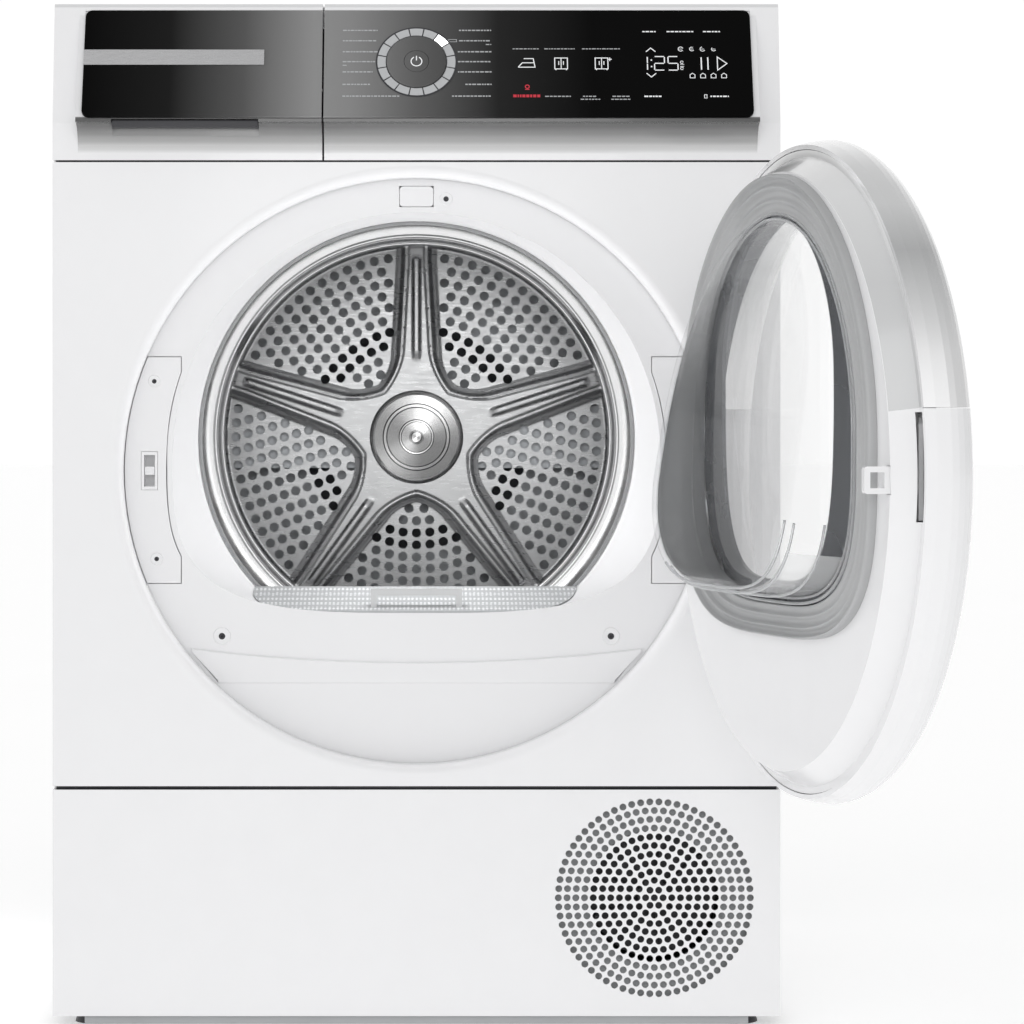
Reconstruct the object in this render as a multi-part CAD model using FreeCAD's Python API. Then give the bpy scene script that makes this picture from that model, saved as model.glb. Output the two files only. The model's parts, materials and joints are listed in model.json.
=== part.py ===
import FreeCAD, Part
import math
import os

# Heat-pump clothes dryer, front-loading, door hinged on the right and stored open.
# Row frame: origin on the floor under the middle of the cabinet, X right, Y to the back, Z up, in mm.

V = FreeCAD.Vector

# Cabinet
WIDTH = 598.0
HEIGHT = 842.0
FRONT_Y = -295.0            # outer face of the front panel
REAR_Y = 300.0              # outer face of the rear panel
SHEET = 1.2                 # steel sheet of the casing
SIDE_X = WIDTH / 2.0
PANEL_GAP_Z = 710.6         # seam between front panel and control panel
KICK_TOP_Z = 194.3
FRONT_BOTTOM_Z = 197.2
KICK_BOTTOM_Z = 8.3

# Round door recess in the front panel
RECESS_Z = 456.0
RECESS_R = 242.0
RECESS_ROLL = 9.0           # radius of the rolled edge of the recess
SHIELD_DEPTH = 24.0         # how far the shield lies behind the front panel

# Loading opening in the shield
OPENING_HALF = 202.0
OPENING_TOP = 670.0
OPENING_BOTTOM = 338.0
OPENING_SQUARENESS = 3.45

# Drum
DRUM_Z = 482.0
DRUM_R = 285.0
DRUM_SHEET = 1.5
DRUM_FRONT_Y = FRONT_Y + 98.0
DRUM_REAR_Y = FRONT_Y + 520.0
THROAT_R = 184.0            # round end of the loading funnel
THROAT_Y = FRONT_Y + 90.0

# Perforated drum back
HOLE_R = 4.5
HOLE_PITCH = 13.4
ARM_COUNT = 5
STAR_R = 183.0
FIELD_INNER_R = 50.0        # flat of a field next to the hub
FIELD_CORNER = 26.0         # rounding of its corner at the hub

# Door, all sizes as if it were closed
DOOR_OPEN = 105.0           # stored opening angle
DOOR_Z = 459.0
DOOR_R = 245.0              # at the seam next to the front panel
DOOR_RING_R = 249.0
DOOR_THICK = 46.0
DOOR_GAP = 4.0
HINGE_X = 240.0
HINGE_Y = FRONT_Y - 20.0
RING_INNER_R = 198.0
PANE_Y = FRONT_Y - 16.0
WINDOW_HALF = 118.0
WINDOW_TOP = DOOR_Z + 190.0
WINDOW_BOTTOM = DOOR_Z - 81.0

# Control panel
FASCIA_TILT = 26.0
FASCIA_BOTTOM_Z = 745.0
FASCIA_TOP_Z = 836.5
FASCIA_LEFT = -273.0
FASCIA_RIGHT = 275.0
FASCIA_BOTTOM_Y = FRONT_Y - 27.0
DRAWER_SEAM_X = -76.6
SEAM = 0.8                  # half of the gap between drawer and control panel
KNOB_Z = 791.5
RING_OUTER_R = 32.8
RING_INNER = 24.8

# Grille in the kick panel
GRILLE_X = 195.4
GRILLE_Z = 105.5
GRILLE_RINGS = 11
GRILLE_PITCH = 7.17
GRILLE_HOLE_R = 2.85

FOOT_PLACES = [(x, y) for x in (-262.0, 262.0) for y in (FRONT_Y + 32.0, REAR_Y - 38.0)]

FIT = 0.05                  # radial clearance of a running fit

os.makedirs("parts", exist_ok=True)


def save(name, *shapes):
    """Write one node: a single solid, or a group of separate solids."""
    shape = shapes[0] if len(shapes) == 1 else Part.makeCompound(list(shapes))
    shape.exportStep("parts/" + name + ".step")


def box(x0, x1, y0, y1, z0, z1):
    return Part.makeBox(x1 - x0, y1 - y0, z1 - z0, V(x0, y0, z0))


def rod(start, direction, radius, length):
    return Part.makeCylinder(radius, length, V(*start), V(*direction))


def tube(start, direction, outer, inner, length):
    return rod(start, direction, outer, length).cut(rod(start, direction, inner, length))


def prism_x(points, x0, x1):
    """Extrude an outline given as (y, z) points along X."""
    wire = Part.makePolygon([V(x0, y, z) for y, z in points + points[:1]])
    return Part.Face(wire).extrude(V(x1 - x0, 0, 0))


def turned(profile, centre_x, centre_z):
    """Turn an outline given as (radius, y) points about the Y axis through the centre."""
    wire = Part.makePolygon([V(r, y, 0) for r, y in profile + profile[:1]])
    solid = Part.Face(wire).revolve(V(0, 0, 0), V(0, 1, 0), 360)
    solid.translate(V(centre_x, 0, centre_z))
    return solid


def closed_curve(points):
    curve = Part.BSplineCurve()
    curve.interpolate(Points=points, PeriodicFlag=True)
    return Part.Wire([curve.toShape()])


def d_wire(half, top, bottom, y, squareness=OPENING_SQUARENESS, count=40):
    """Outline with a half-round top and a flatter, round-cornered bottom."""
    centre = top - half
    low = centre - bottom
    points = []
    for i in range(count):
        a = 2.0 * math.pi * i / count
        c, s = math.cos(a), math.sin(a)
        if s >= 0:
            points.append(V(half * c, y, centre + half * s))
        else:
            power = 2.0 / squareness
            x = half * math.copysign(abs(c) ** power, c)
            points.append(V(x, y, centre - low * abs(s) ** power))
    return closed_curve(points)


def circle_wire(radius, centre_z, y, count=40):
    angles = [2.0 * math.pi * i / count for i in range(count)]
    return closed_curve([V(radius * math.cos(a), y, centre_z + radius * math.sin(a)) for a in angles])


def slab(wire, thickness, *holes):
    return Part.Face([wire] + list(holes)).extrude(V(0, thickness, 0))


def loft(*wires):
    return Part.makeLoft(list(wires), True, False)


def opened(shape):
    """Swing a door piece from closed to its stored, open place."""
    shape = shape.copy()
    shape.rotate(V(HINGE_X, HINGE_Y, 0), V(0, 0, 1), DOOR_OPEN)
    return shape


# ---------------------------------------------------------------- casing

def front_panel():
    y = FRONT_Y
    plate = box(-SIDE_X, SIDE_X, y, y + SHEET, FRONT_BOTTOM_Z, PANEL_GAP_Z - 0.8)
    plate = plate.cut(rod((0, y - 1, RECESS_Z), (0, 1, 0), RECESS_R + RECESS_ROLL, 5))
    for side in (-1, 1):
        edge = box(0, SHEET, y + SHEET, y + 16, FRONT_BOTTOM_Z, PANEL_GAP_Z - 0.8)
        edge.translate(V(side * (SIDE_X - SHEET / 2) - SHEET / 2, 0, 0))
        plate = plate.fuse(edge)
    outer, inner = [], []
    steps = 8
    for i in range(steps + 1):
        a = math.radians(90.0 * i / steps)
        outer.append((RECESS_R + RECESS_ROLL * (1 - math.sin(a)), y + RECESS_ROLL * (1 - math.cos(a))))
        radius = RECESS_ROLL - SHEET
        inner.append((RECESS_R + RECESS_ROLL - radius * math.sin(a), y + RECESS_ROLL - radius * math.cos(a)))
    back = y + SHIELD_DEPTH - 0.5
    lip = turned(outer + [(RECESS_R, back), (RECESS_R + SHEET, back)] + inner[::-1], 0, RECESS_Z)
    return plate.fuse(lip).removeSplitter()


def side_panel(side):
    y0, y1 = FRONT_Y + 16.4, REAR_Y - 1.6
    x0 = SIDE_X - SHEET
    plate = box(x0, SIDE_X, y0, y1, 12, 822)
    front = box(x0 - 14, x0, y0, y0 + SHEET, 101, 822)
    rear = box(x0 - 14, x0, y1 - SHEET, y1, 101, 822)
    panel = plate.fuse([front, rear]).removeSplitter()
    return panel if side > 0 else panel.mirror(V(0, 0, 0), V(1, 0, 0))


def top_cover():
    slab_top = box(-SIDE_X, SIDE_X, FRONT_Y + 36, REAR_Y, 823, HEIGHT)
    slab_top = slab_top.makeFillet(3, [e for e in slab_top.Edges if e.BoundBox.ZMin > HEIGHT - 1])
    hollow = box(-SIDE_X + 12, SIDE_X - 12, FRONT_Y + 60, REAR_Y - 14, 820, HEIGHT - 6)
    return slab_top.cut(hollow)


def rear_panel():
    plate = box(-SIDE_X, SIDE_X, REAR_Y - SHEET, REAR_Y, 12, 822.5)
    plate = plate.cut(rod((0, REAR_Y - 5, DRUM_Z), (0, 1, 0), 237, 10))
    plate = plate.cut(rod((-230, REAR_Y - 5, 60), (0, 1, 0), 8.2, 10))
    plate = plate.cut(rod((-180, REAR_Y - 5, 745), (0, 1, 0), 10.2, 10))
    for row in range(6):
        slot = box(90, 230, REAR_Y - 5, REAR_Y + 5, 60 + 14 * row, 66 + 14 * row)
        plate = plate.cut(slot)
    return plate


def rear_duct_cover():
    y = REAR_Y
    return turned([(0, y - 32), (90, y - 32), (110, y - 8), (232, y - 8), (236.5, y - 5.5), (236.5, y),
                   (228, y), (228, y - 3), (106, y - 3), (86, y - 27), (0, y - 27)], 0, DRUM_Z)


def base_pan():
    """Tray on the feet: open in front of the cooling fan, bored for the foot studs and the drain."""
    pan = box(-290, 290, FRONT_Y + 8, REAR_Y - 2, 14, 100)
    pan = pan.cut(box(-286, 286, FRONT_Y + 12, REAR_Y - 6, 18, 101))
    pan = pan.cut(box(GRILLE_X - 82, GRILLE_X + 82, FRONT_Y + 5, FRONT_Y + 13, 24, 101))
    pan = pan.cut(rod((-230, REAR_Y - 10, 60), (0, 1, 0), 8.4, 12))
    for x, y in FOOT_PLACES:
        pan = pan.cut(rod((x, y, 10), (0, 0, 1), 5.4, 10))
    return pan


def kick_panel():
    y = FRONT_Y
    z0, z1 = KICK_BOTTOM_Z, KICK_TOP_Z
    corner = [V(-SIDE_X, y, z0), V(SIDE_X, y, z0), V(SIDE_X, y, z1), V(-SIDE_X, y, z1), V(-SIDE_X, y, z0)]
    holes = [Part.Wire([Part.makeCircle(GRILLE_HOLE_R, V(GRILLE_X, y, GRILLE_Z), V(0, 1, 0))])]
    for ring in range(1, GRILLE_RINGS + 1):
        for k in range(6 * ring):
            a = 2 * math.pi * k / (6 * ring)
            centre = V(GRILLE_X + ring * GRILLE_PITCH * math.cos(a), y,
                       GRILLE_Z + ring * GRILLE_PITCH * math.sin(a))
            holes.append(Part.Wire([Part.makeCircle(GRILLE_HOLE_R, centre, V(0, 1, 0))]))
    face = Part.Face([Part.makePolygon(corner)] + holes)
    if face.Area > WIDTH * (z1 - z0):
        raise RuntimeError("the grille holes did not cut the face")
    plate = face.extrude(V(0, 2.4, 0))
    edges = [box(-SIDE_X, -SIDE_X + 2.4, y + 2.4, y + 15, z0, z1)]
    edges.append(box(SIDE_X - 2.4, SIDE_X, y + 2.4, y + 15, z0, z1))
    return plate.fuse(edges)


def feet():
    """Levelling feet: pad, lock nut under the tray, and stud."""
    solids = []
    for x, y in FOOT_PLACES:
        pad = Part.makeCone(21, 19, 7, V(x, y, 0), V(0, 0, 1))
        nut = rod((x, y, 7), (0, 0, 1), 9.0, 6.95)
        solids.append(pad.fuse([nut, rod((x, y, 7), (0, 0, 1), 5.0, 11)]).removeSplitter())
    return solids


# ---------------------------------------------------------------- loading opening

def d_opening(grow, y):
    return d_wire(OPENING_HALF + grow, OPENING_TOP + grow, OPENING_BOTTOM - grow, y)


SIDE_PLATE_X = 195.0
SIDE_PLATE_LOW, SIDE_PLATE_HIGH = 363.0, 550.0
PLATE_SCREWS = ((217.0, 530.0), (215.0, 383.0))


def front_shield():
    y = FRONT_Y + SHIELD_DEPTH
    rim = Part.Wire([Part.makeCircle(RECESS_R + 9, V(0, y, RECESS_Z), V(0, 1, 0))])
    plate = slab(rim, 3.0, d_opening(0, y))
    for side in (-1, 1):
        pocket = box(SIDE_PLATE_X - 0.6, RECESS_R + 20, y - 1, y + 9,
                     SIDE_PLATE_LOW - 0.6, SIDE_PLATE_HIGH + 0.6)
        pocket = pocket.cut(Part.Face(d_opening(4.4, y - 5)).extrude(V(0, 30, 0)))
        plate = plate.cut(pocket if side > 0 else pocket.mirror(V(0, 0, 0), V(1, 0, 0)))
        plate = plate.cut(rod((side * 161, y - 1, 319), (0, 1, 0), 4.5, 6))
    plate = plate.cut(box(-230, -208, y - 1, y + 6, 438, 474))
    plate = plate.cut(rod((24.5, y - 1, 681), (0, 1, 0), 3.4, 6))
    plate = plate.cut(box(-14.2, 14.2, y - 1, y + 6, 674.3, 691.7))
    return plate


def loading_funnel():
    y = FRONT_Y + SHIELD_DEPTH + 3.0
    wall = loft(d_opening(3.2, y), circle_wire(THROAT_R + 3.2, DRUM_Z, THROAT_Y))
    inside = loft(d_opening(0.0, y - 0.01), circle_wire(THROAT_R, DRUM_Z, THROAT_Y + 0.01))
    funnel = wall.cut(inside)
    return funnel.cut(box(-121, 121, FRONT_Y + 28, FRONT_Y + 60, 280, 352))


def side_plate(side):
    """Plate that fills the shield beside the opening: latch plate on the left, hinge plate on the right."""
    y = FRONT_Y + SHIELD_DEPTH
    disc = rod((0, y - 1.2, RECESS_Z), (0, 1, 0), RECESS_R - 0.6, 3.6)
    plate = disc.common(box(-RECESS_R, -SIDE_PLATE_X, y - 1.2, y + 2.4, SIDE_PLATE_LOW, SIDE_PLATE_HIGH))
    wide = d_opening(5.0, y - 5)
    plate = plate.cut(Part.Face(wide).extrude(V(0, 20, 0)))
    for x, z in PLATE_SCREWS:
        plate = plate.cut(rod((-x, y - 5, z), (0, 1, 0), 2.6, 12))
    if side < 0:
        return plate.cut(box(-228, -214, y - 5, y + 5, 440, 472))
    return plate.mirror(V(0, 0, 0), V(1, 0, 0))


def latch_bezel():
    y = FRONT_Y + SHIELD_DEPTH
    frame = box(-227.7, -214.3, y - 1.6, y + 14, 440.3, 471.7)
    return frame.cut(box(-225.5, -216.5, y - 3, y + 11.5, 443, 469))


def latch_catch():
    """Sprung tongue that the door hook rides over."""
    y = FRONT_Y + SHIELD_DEPTH
    return box(-225, -217, y + 0.6, y + 3.4, 452.6, 459.4)


def shield_screws():
    y = FRONT_Y + SHIELD_DEPTH
    places = [(-161, 319), (161, 319), (24.5, 681)]
    places += [(side * x, z) for side in (-1, 1) for x, z in PLATE_SCREWS]
    solids = []
    for i, (x, z) in enumerate(places):
        shank = 4.2 if i < 2 else 3.0 if i == 2 else 2.3
        head_y = y + 1.0 if i < 3 else y - 0.2
        head = rod((x, head_y, z), (0, 1, 0), shank, 9)
        cross = box(x - 2, x + 2, head_y - 1, head_y + 1, z - 0.45, z + 0.45)
        cross = cross.fuse(box(x - 0.45, x + 0.45, head_y - 1, head_y + 1, z - 2, z + 2))
        solids.append(head.cut(cross))
    return solids


def lamp_cover():
    y = FRONT_Y + SHIELD_DEPTH
    lens = box(-13.8, 13.8, y - 1.0, y + 8, 674.7, 691.3)
    return lens.makeFillet(3, [e for e in lens.Edges if abs(e.BoundBox.YLength - 9) < 0.1])


def front_bulkhead():
    y = THROAT_Y - 28
    plate = tube((0, y, DRUM_Z), (0, 1, 0), 279, THROAT_R + 22, 3)
    collar = tube((0, y + 3, DRUM_Z), (0, 1, 0), 279, 275, 40)
    return plate.fuse(collar).removeSplitter()


def drum_front_felt():
    return tube((0, DRUM_FRONT_Y + 4, DRUM_Z), (0, 1, 0), 283.1, 279.0, 9)


# ---------------------------------------------------------------- lint filter

def filter_cover():
    y0, y1 = FRONT_Y + 28.0, FRONT_Y + 86.0
    ramp = prism_x([(y0, 334), (y1, 351), (y1, 357.5), (y0, 340)], -175, 175)
    room = loft(d_opening(-0.8, y0 - 3), circle_wire(THROAT_R - 0.8, DRUM_Z, THROAT_Y + 1))
    return max(ramp.common(room).Solids, key=lambda s: s.Volume)


def filter_handle():
    y = FRONT_Y + 36.0
    bar = box(-38, 38, y, y + 6, 352, 358)
    posts = [box(x, x + 5, y, y + 6, 336, 352) for x in (-38, 33)]
    return bar.fuse(posts).removeSplitter().cut(filter_cover_shape)


def filter_pocket():
    y0, y1 = FRONT_Y + 32.0, FRONT_Y + 56.0
    outer = box(-112, 112, y0, y1, 196, 341).cut(box(-109, 109, y0 + 3, y1 - 3, 199, 345))
    for x in range(-100, 96, 14):
        outer = outer.cut(box(x, x + 9, y0 - 1, y1 + 1, 206, 320))
    return outer.cut(filter_cover_shape)


def filter_housing():
    y0, y1 = FRONT_Y + 29.0, FRONT_Y + 59.0
    outer = box(-118, 118, y0, y1, 176, 318)
    return outer.cut(box(-115, 115, y0 + 2.4, y1 - 2.4, 180, 330))


# ---------------------------------------------------------------- drum and its drive

def drum_shell():
    y0, y1 = DRUM_FRONT_Y, DRUM_REAR_Y
    r = DRUM_R
    t = DRUM_SHEET
    return turned([(r, y0), (r, y1 + 12), (r - t, y1 + 12), (r - t, y0)], 0, DRUM_Z)


def field_depth(x, z):
    """Distance from a point of the drum back to the edge of its field between two arms, positive inside."""
    fold = 360.0 / ARM_COUNT
    a = math.degrees(math.atan2(x, z)) % fold
    a = min(a, fold - a)
    r = math.hypot(x, z)
    along = r * math.cos(math.radians(a))
    from_arm = r * math.sin(math.radians(a)) - 7.5 - 0.055 * max(0.0, 170.0 - along)
    from_hub = r * math.cos(math.radians(fold / 2 - a)) - FIELD_INNER_R
    if min(from_arm, from_hub) > FIELD_CORNER:
        return min(from_arm, from_hub)
    missing = [FIELD_CORNER - min(d, FIELD_CORNER) for d in (from_arm, from_hub)]
    return FIELD_CORNER - math.hypot(missing[0], missing[1])


def drum_rear_wall():
    y = DRUM_REAR_Y
    rim = Part.Wire([Part.makeCircle(DRUM_R - DRUM_SHEET, V(0, y, DRUM_Z), V(0, 1, 0))])
    holes = [Part.Wire([Part.makeCircle(12.2, V(0, y, DRUM_Z), V(0, 1, 0))])]
    row = HOLE_PITCH * 0.87
    for j in range(int((STAR_R - FIELD_INNER_R) / row)):
        r = STAR_R - 9 - j * row
        count = int(round(2 * math.pi * r / HOLE_PITCH / ARM_COUNT)) * ARM_COUNT
        for k in range(count):
            a = 2 * math.pi * (k + 0.5 * (j % 2)) / count
            x, z = r * math.sin(a), r * math.cos(a)
            if field_depth(x, z) > 13.5:
                centre = V(x, y, DRUM_Z + z)
                holes.append(Part.Wire([Part.makeCircle(HOLE_R, centre, V(0, 1, 0))]))
    return Part.Face([rim] + holes).extrude(V(0, DRUM_SHEET, 0))


def drum_hub():
    y = DRUM_REAR_Y
    cap = [(0, y - 14), (5, y - 14), (6.5, y - 12), (15, y - 12), (17, y - 9)]
    cap += [(30, y - 9), (33, y - 6), (41, y - 5), (43, y - 0.05), (0, y - 0.05)]
    return turned(cap, 0, DRUM_Z)


def drum_shaft():
    y = DRUM_REAR_Y
    flange = rod((0, y + DRUM_SHEET + 0.05, DRUM_Z), (0, 1, 0), 60, 5)
    stub = rod((0, y + 5, DRUM_Z), (0, 1, 0), 12, 30)
    return flange.fuse(stub).removeSplitter()


def rear_bearing_bracket():
    y = DRUM_REAR_Y + 14
    bush = tube((0, y, DRUM_Z), (0, 1, 0), 24, 12 + FIT, 18)
    bar = box(-SIDE_X + 2, SIDE_X - 2, y + 4, y + 7, DRUM_Z - 30, DRUM_Z + 30)
    return bar.fuse(bush).cut(rod((0, y - 1, DRUM_Z), (0, 1, 0), 12 + FIT, 30)).removeSplitter()


def drum_lifters():
    r = DRUM_R - DRUM_SHEET - 0.1
    solids = []
    for k in range(3):
        section = [(-34, r - 2.5), (-10, r - 58), (0, r - 64), (10, r - 58), (34, r - 2.5)]
        wire = Part.makePolygon([V(x, DRUM_FRONT_Y + 40, z) for x, z in section + section[:1]])
        lifter = Part.Face(wire).extrude(V(0, 330, 0))
        lifter.rotate(V(0, 0, 0), V(0, 1, 0), 60 + 120 * k)
        lifter.translate(V(0, 0, DRUM_Z))
        solids.append(lifter)
    return solids


MOTOR_X, MOTOR_Z = 205.0, 128.0
PULLEY_R = 9.0
BELT_Y = 60.0
TENSION_R = 22.0
ROLLER_ANGLES = (-34.0, 34.0)
ROLLER_R = 26.0


def support_roller(angle):
    """One of the two rollers that carry the front of the drum."""
    a = math.radians(angle)
    reach = DRUM_R + ROLLER_R + 0.3
    x, z = reach * math.sin(a), DRUM_Z - reach * math.cos(a)
    y = DRUM_FRONT_Y + 14
    wheel = tube((x, y, z), (0, 1, 0), ROLLER_R, 5 + FIT, 20)
    axle = rod((x, y - 6, z), (0, 1, 0), 5, 32)
    block = box(x - 16, x + 16, y + 21, y + 26, z - 60, z + 10)
    return wheel, axle.fuse(block).removeSplitter()


def drive_motor():
    body = rod((MOTOR_X, BELT_Y + 25, MOTOR_Z), (0, 1, 0), 52, 110)
    bracket = box(MOTOR_X - 40, MOTOR_X + 40, BELT_Y + 40, BELT_Y + 120, 18.3, 84)
    bore = rod((MOTOR_X, BELT_Y + 20, MOTOR_Z), (0, 1, 0), 6 + FIT, 130)
    return body.fuse(bracket).cut(bore).removeSplitter()


def motor_pulley():
    shaft = rod((MOTOR_X, BELT_Y - 9, MOTOR_Z), (0, 1, 0), 6, 160)
    wheel = rod((MOTOR_X, BELT_Y - 9, MOTOR_Z), (0, 1, 0), PULLEY_R, 18)
    return shaft.fuse(wheel).removeSplitter()


def fan_wheel(x, y, z, radius, depth, blades, hub):
    """Bladed wheel turning about Y, with its bore left for a shaft of the hub's inner radius."""
    back = rod((x, y + depth - 2, z), (0, 1, 0), radius, 2)
    core = rod((x, y, z), (0, 1, 0), hub, depth)
    wheel = back.fuse(core)
    for k in range(blades):
        blade = box(x + hub - 1, x + radius - 1, y, y + depth - 1, z - 1, z + 1)
        blade.rotate(V(x, y, z), V(0, 1, 0), 360.0 * k / blades)
        wheel = wheel.fuse(blade)
    return wheel.removeSplitter()


def process_fan():
    y = BELT_Y + 136.5
    wheel = fan_wheel(MOTOR_X, y, MOTOR_Z, 48, 12, 12, 14)
    return wheel.cut(rod((MOTOR_X, y - 1, MOTOR_Z), (0, 1, 0), 6, 14.5))


def belt_side(grow):
    """Ends of the slack and the tight run, on the drum and on the pulley, for a belt line grown outwards."""
    dx, dz = MOTOR_X, MOTOR_Z - DRUM_Z
    span = math.hypot(dx, dz)
    r1, r2 = DRUM_R + 0.4 + grow, PULLEY_R + 0.4 + grow
    heading = math.atan2(dz, dx)
    spread = math.acos((r1 - r2) / span)
    ends = []
    for sign in (-1, 1):
        a = heading + sign * spread
        ends.append(((r1 * math.cos(a), DRUM_Z + r1 * math.sin(a)),
                     (MOTOR_X + r2 * math.cos(a), MOTOR_Z + r2 * math.sin(a))))
    return ends


def belt_fill(grow, y, width):
    """Solid inside the belt line: the drum circle, the pulley circle and the wedge between them."""
    left, right = belt_side(grow)
    wedge = [left[0], left[1], right[1], right[0]]
    wire = Part.makePolygon([V(x, y, z) for x, z in wedge + wedge[:1]])
    solid = Part.Face(wire).extrude(V(0, width, 0))
    solid = solid.fuse(rod((0, y, DRUM_Z), (0, 1, 0), DRUM_R + 0.4 + grow, width))
    return solid.fuse(rod((MOTOR_X, y, MOTOR_Z), (0, 1, 0), PULLEY_R + 0.4 + grow, width))


def drive_belt():
    """Flat belt on its whole path: round the drum and over the motor pulley."""
    y = BELT_Y - 6
    return belt_fill(2.0, y, 12).cut(belt_fill(0.0, y - 1, 14)).removeSplitter()


slack_start, slack_end = belt_side(2.4 + TENSION_R)[0]
TENSION_X = 0.35 * slack_start[0] + 0.65 * slack_end[0]
TENSION_Z = 0.35 * slack_start[1] + 0.65 * slack_end[1]


def tensioner_arm():
    arm = box(TENSION_X - 8, TENSION_X + 8, BELT_Y + 14, BELT_Y + 18, 60, TENSION_Z + 8)
    arm = arm.fuse(rod((TENSION_X, BELT_Y - 8, TENSION_Z), (0, 1, 0), 4, 24))
    return arm.cut(rod((TENSION_X, BELT_Y + 10, 66), (0, 1, 0), 4 + FIT, 10)).removeSplitter()


def tensioner_pulley():
    return tube((TENSION_X, BELT_Y - 8, TENSION_Z), (0, 1, 0), TENSION_R, 4 + FIT, 18)


def tensioner_pivot():
    foot = box(TENSION_X - 14, TENSION_X + 14, BELT_Y + 19, BELT_Y + 40, 18.3, 80)
    return foot.fuse(rod((TENSION_X, BELT_Y + 8, 66), (0, 1, 0), 4, 16)).removeSplitter()


# ---------------------------------------------------------------- heat pump, water and electrics

def compressor():
    can = rod((-190, 130, 22), (0, 0, 1), 62, 120)
    dome = Part.makeSphere(62, V(-190, 130, 142)).common(box(-260, -120, 60, 200, 142, 182))
    plate = box(-262, -118, 60, 200, 18.3, 22)
    return can.fuse([dome, plate]).removeSplitter()


def heat_exchangers():
    """Evaporator and condenser: two finned blocks one behind the other in the air path."""
    solids = []
    for y0 in (-190.0, -60.0):
        block = box(-112, 58, y0, y0 + 6, 30, 150)
        for k in range(1, 9):
            block = block.fuse(box(-112, 58, y0 + 12 * k, y0 + 12 * k + 6, 30, 150))
        for z in (55, 90, 125):
            for x in (-80, -27, 26):
                block = block.fuse(rod((x, y0, z), (0, 1, 0), 5, 102))
        solids.append(block.removeSplitter())
    return solids


def cooling_fan():
    return fan_wheel(GRILLE_X, FRONT_Y + 13, GRILLE_Z, 52, 14, 9, 13).cut(
        rod((GRILLE_X, FRONT_Y + 12, GRILLE_Z), (0, 1, 0), 3 + FIT, 20))


def cooling_fan_motor():
    y = FRONT_Y + 28.5
    pin = rod((GRILLE_X, FRONT_Y + 14, GRILLE_Z), (0, 1, 0), 3, 16)
    can = rod((GRILLE_X, y, GRILLE_Z), (0, 1, 0), 22, 26)
    arms = box(GRILLE_X - 70, GRILLE_X + 70, y + 8, y + 11, GRILLE_Z - 6, GRILLE_Z + 6)
    stand = box(GRILLE_X - 70, GRILLE_X - 62, y + 8, y + 11, 18.3, GRILLE_Z)
    stand2 = box(GRILLE_X + 62, GRILLE_X + 70, y + 8, y + 11, 18.3, GRILLE_Z)
    return can.fuse([pin, arms, stand, stand2]).removeSplitter()


def control_board():
    board = box(20, 230, -236, -232, 766, 812)
    parts = [box(40, 80, -232, -215, 772, 800), box(110, 135, -232, -210, 776, 804)]
    parts.append(box(160, 210, -232, -220, 774, 806))
    return board.fuse(parts).removeSplitter()


def mains_inlet_gland():
    y = REAR_Y
    body = tube((-180, y - 14, 745), (0, 1, 0), 10, 5.0, 22)
    collar = tube((-180, y + 0.05, 745), (0, 1, 0), 15, 5.0, 4)
    return body.fuse(collar).removeSplitter()


def drain_spigot():
    y = REAR_Y
    body = tube((-230, y - 12, 60), (0, 1, 0), 8, 5.5, 34)
    collar = tube((-230, y + 0.05, 60), (0, 1, 0), 13, 5.5, 3)
    return body.fuse(collar).removeSplitter()


# ---------------------------------------------------------------- control panel and water drawer

TILT = math.radians(FASCIA_TILT)
FASCIA_RISE = FASCIA_TOP_Z - FASCIA_BOTTOM_Z
FASCIA_TOP_Y = FASCIA_BOTTOM_Y + FASCIA_RISE * math.tan(TILT)
FACE_NORMAL = V(0, -math.cos(TILT), math.sin(TILT))
KNOB_Y = FASCIA_BOTTOM_Y + (KNOB_Z - FASCIA_BOTTOM_Z) * math.tan(TILT)


def on_fascia(offset):
    """Centre of the selector on the tilted glass, moved out along the face normal."""
    return V(0, KNOB_Y, KNOB_Z) + FACE_NORMAL * offset


def panel_body(x0, x1):
    """Hollow moulding of the control strip between two X positions."""
    y = FRONT_Y
    base = [(y, PANEL_GAP_Z + 0.8), (y, 742), (FASCIA_TOP_Y + 1.0, HEIGHT - 3), (FASCIA_TOP_Y + 4.0, HEIGHT),
            (y + 35.4, HEIGHT), (y + 35.4, HEIGHT - 2.5), (FASCIA_TOP_Y + 6.0, HEIGHT - 2.5),
            (FASCIA_TOP_Y + 4.0, HEIGHT - 5), (y + 2.6, 740), (y + 2.6, PANEL_GAP_Z + 0.8)]
    shell = prism_x(base, x0, x1)
    for side in (-1, 1):
        room = box(-8.5, 8.5, FRONT_Y + 15.8, FRONT_Y + 60, 700, 822.6)
        room.translate(V(side * (SIDE_X - 7.5), 0, 0))
        shell = shell.cut(room)
    return shell


def fascia_wedge(x0, x1):
    """Part that carries the glass: a leaning front over a hollowed grip ledge."""
    outline = [(FASCIA_BOTTOM_Y + 2.2, FASCIA_BOTTOM_Z - 1.5)]
    outline.append((FASCIA_TOP_Y + 2.2, FASCIA_TOP_Z + 1.0))
    outline.append((FASCIA_TOP_Y + 7.0, FASCIA_TOP_Z - 1.0))
    outline.append((FRONT_Y + 2.0, 760.0))
    outline.append((FRONT_Y + 2.0, 716.0))
    for i in range(7):
        a = math.radians(90.0 * i / 6)
        reach = FRONT_Y - (FASCIA_BOTTOM_Y + 2.2)
        outline.append((FRONT_Y - reach * (1 - math.cos(a)), 717.0 + 24.0 * math.sin(a)))
    return prism_x(outline, x0, x1)


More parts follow.
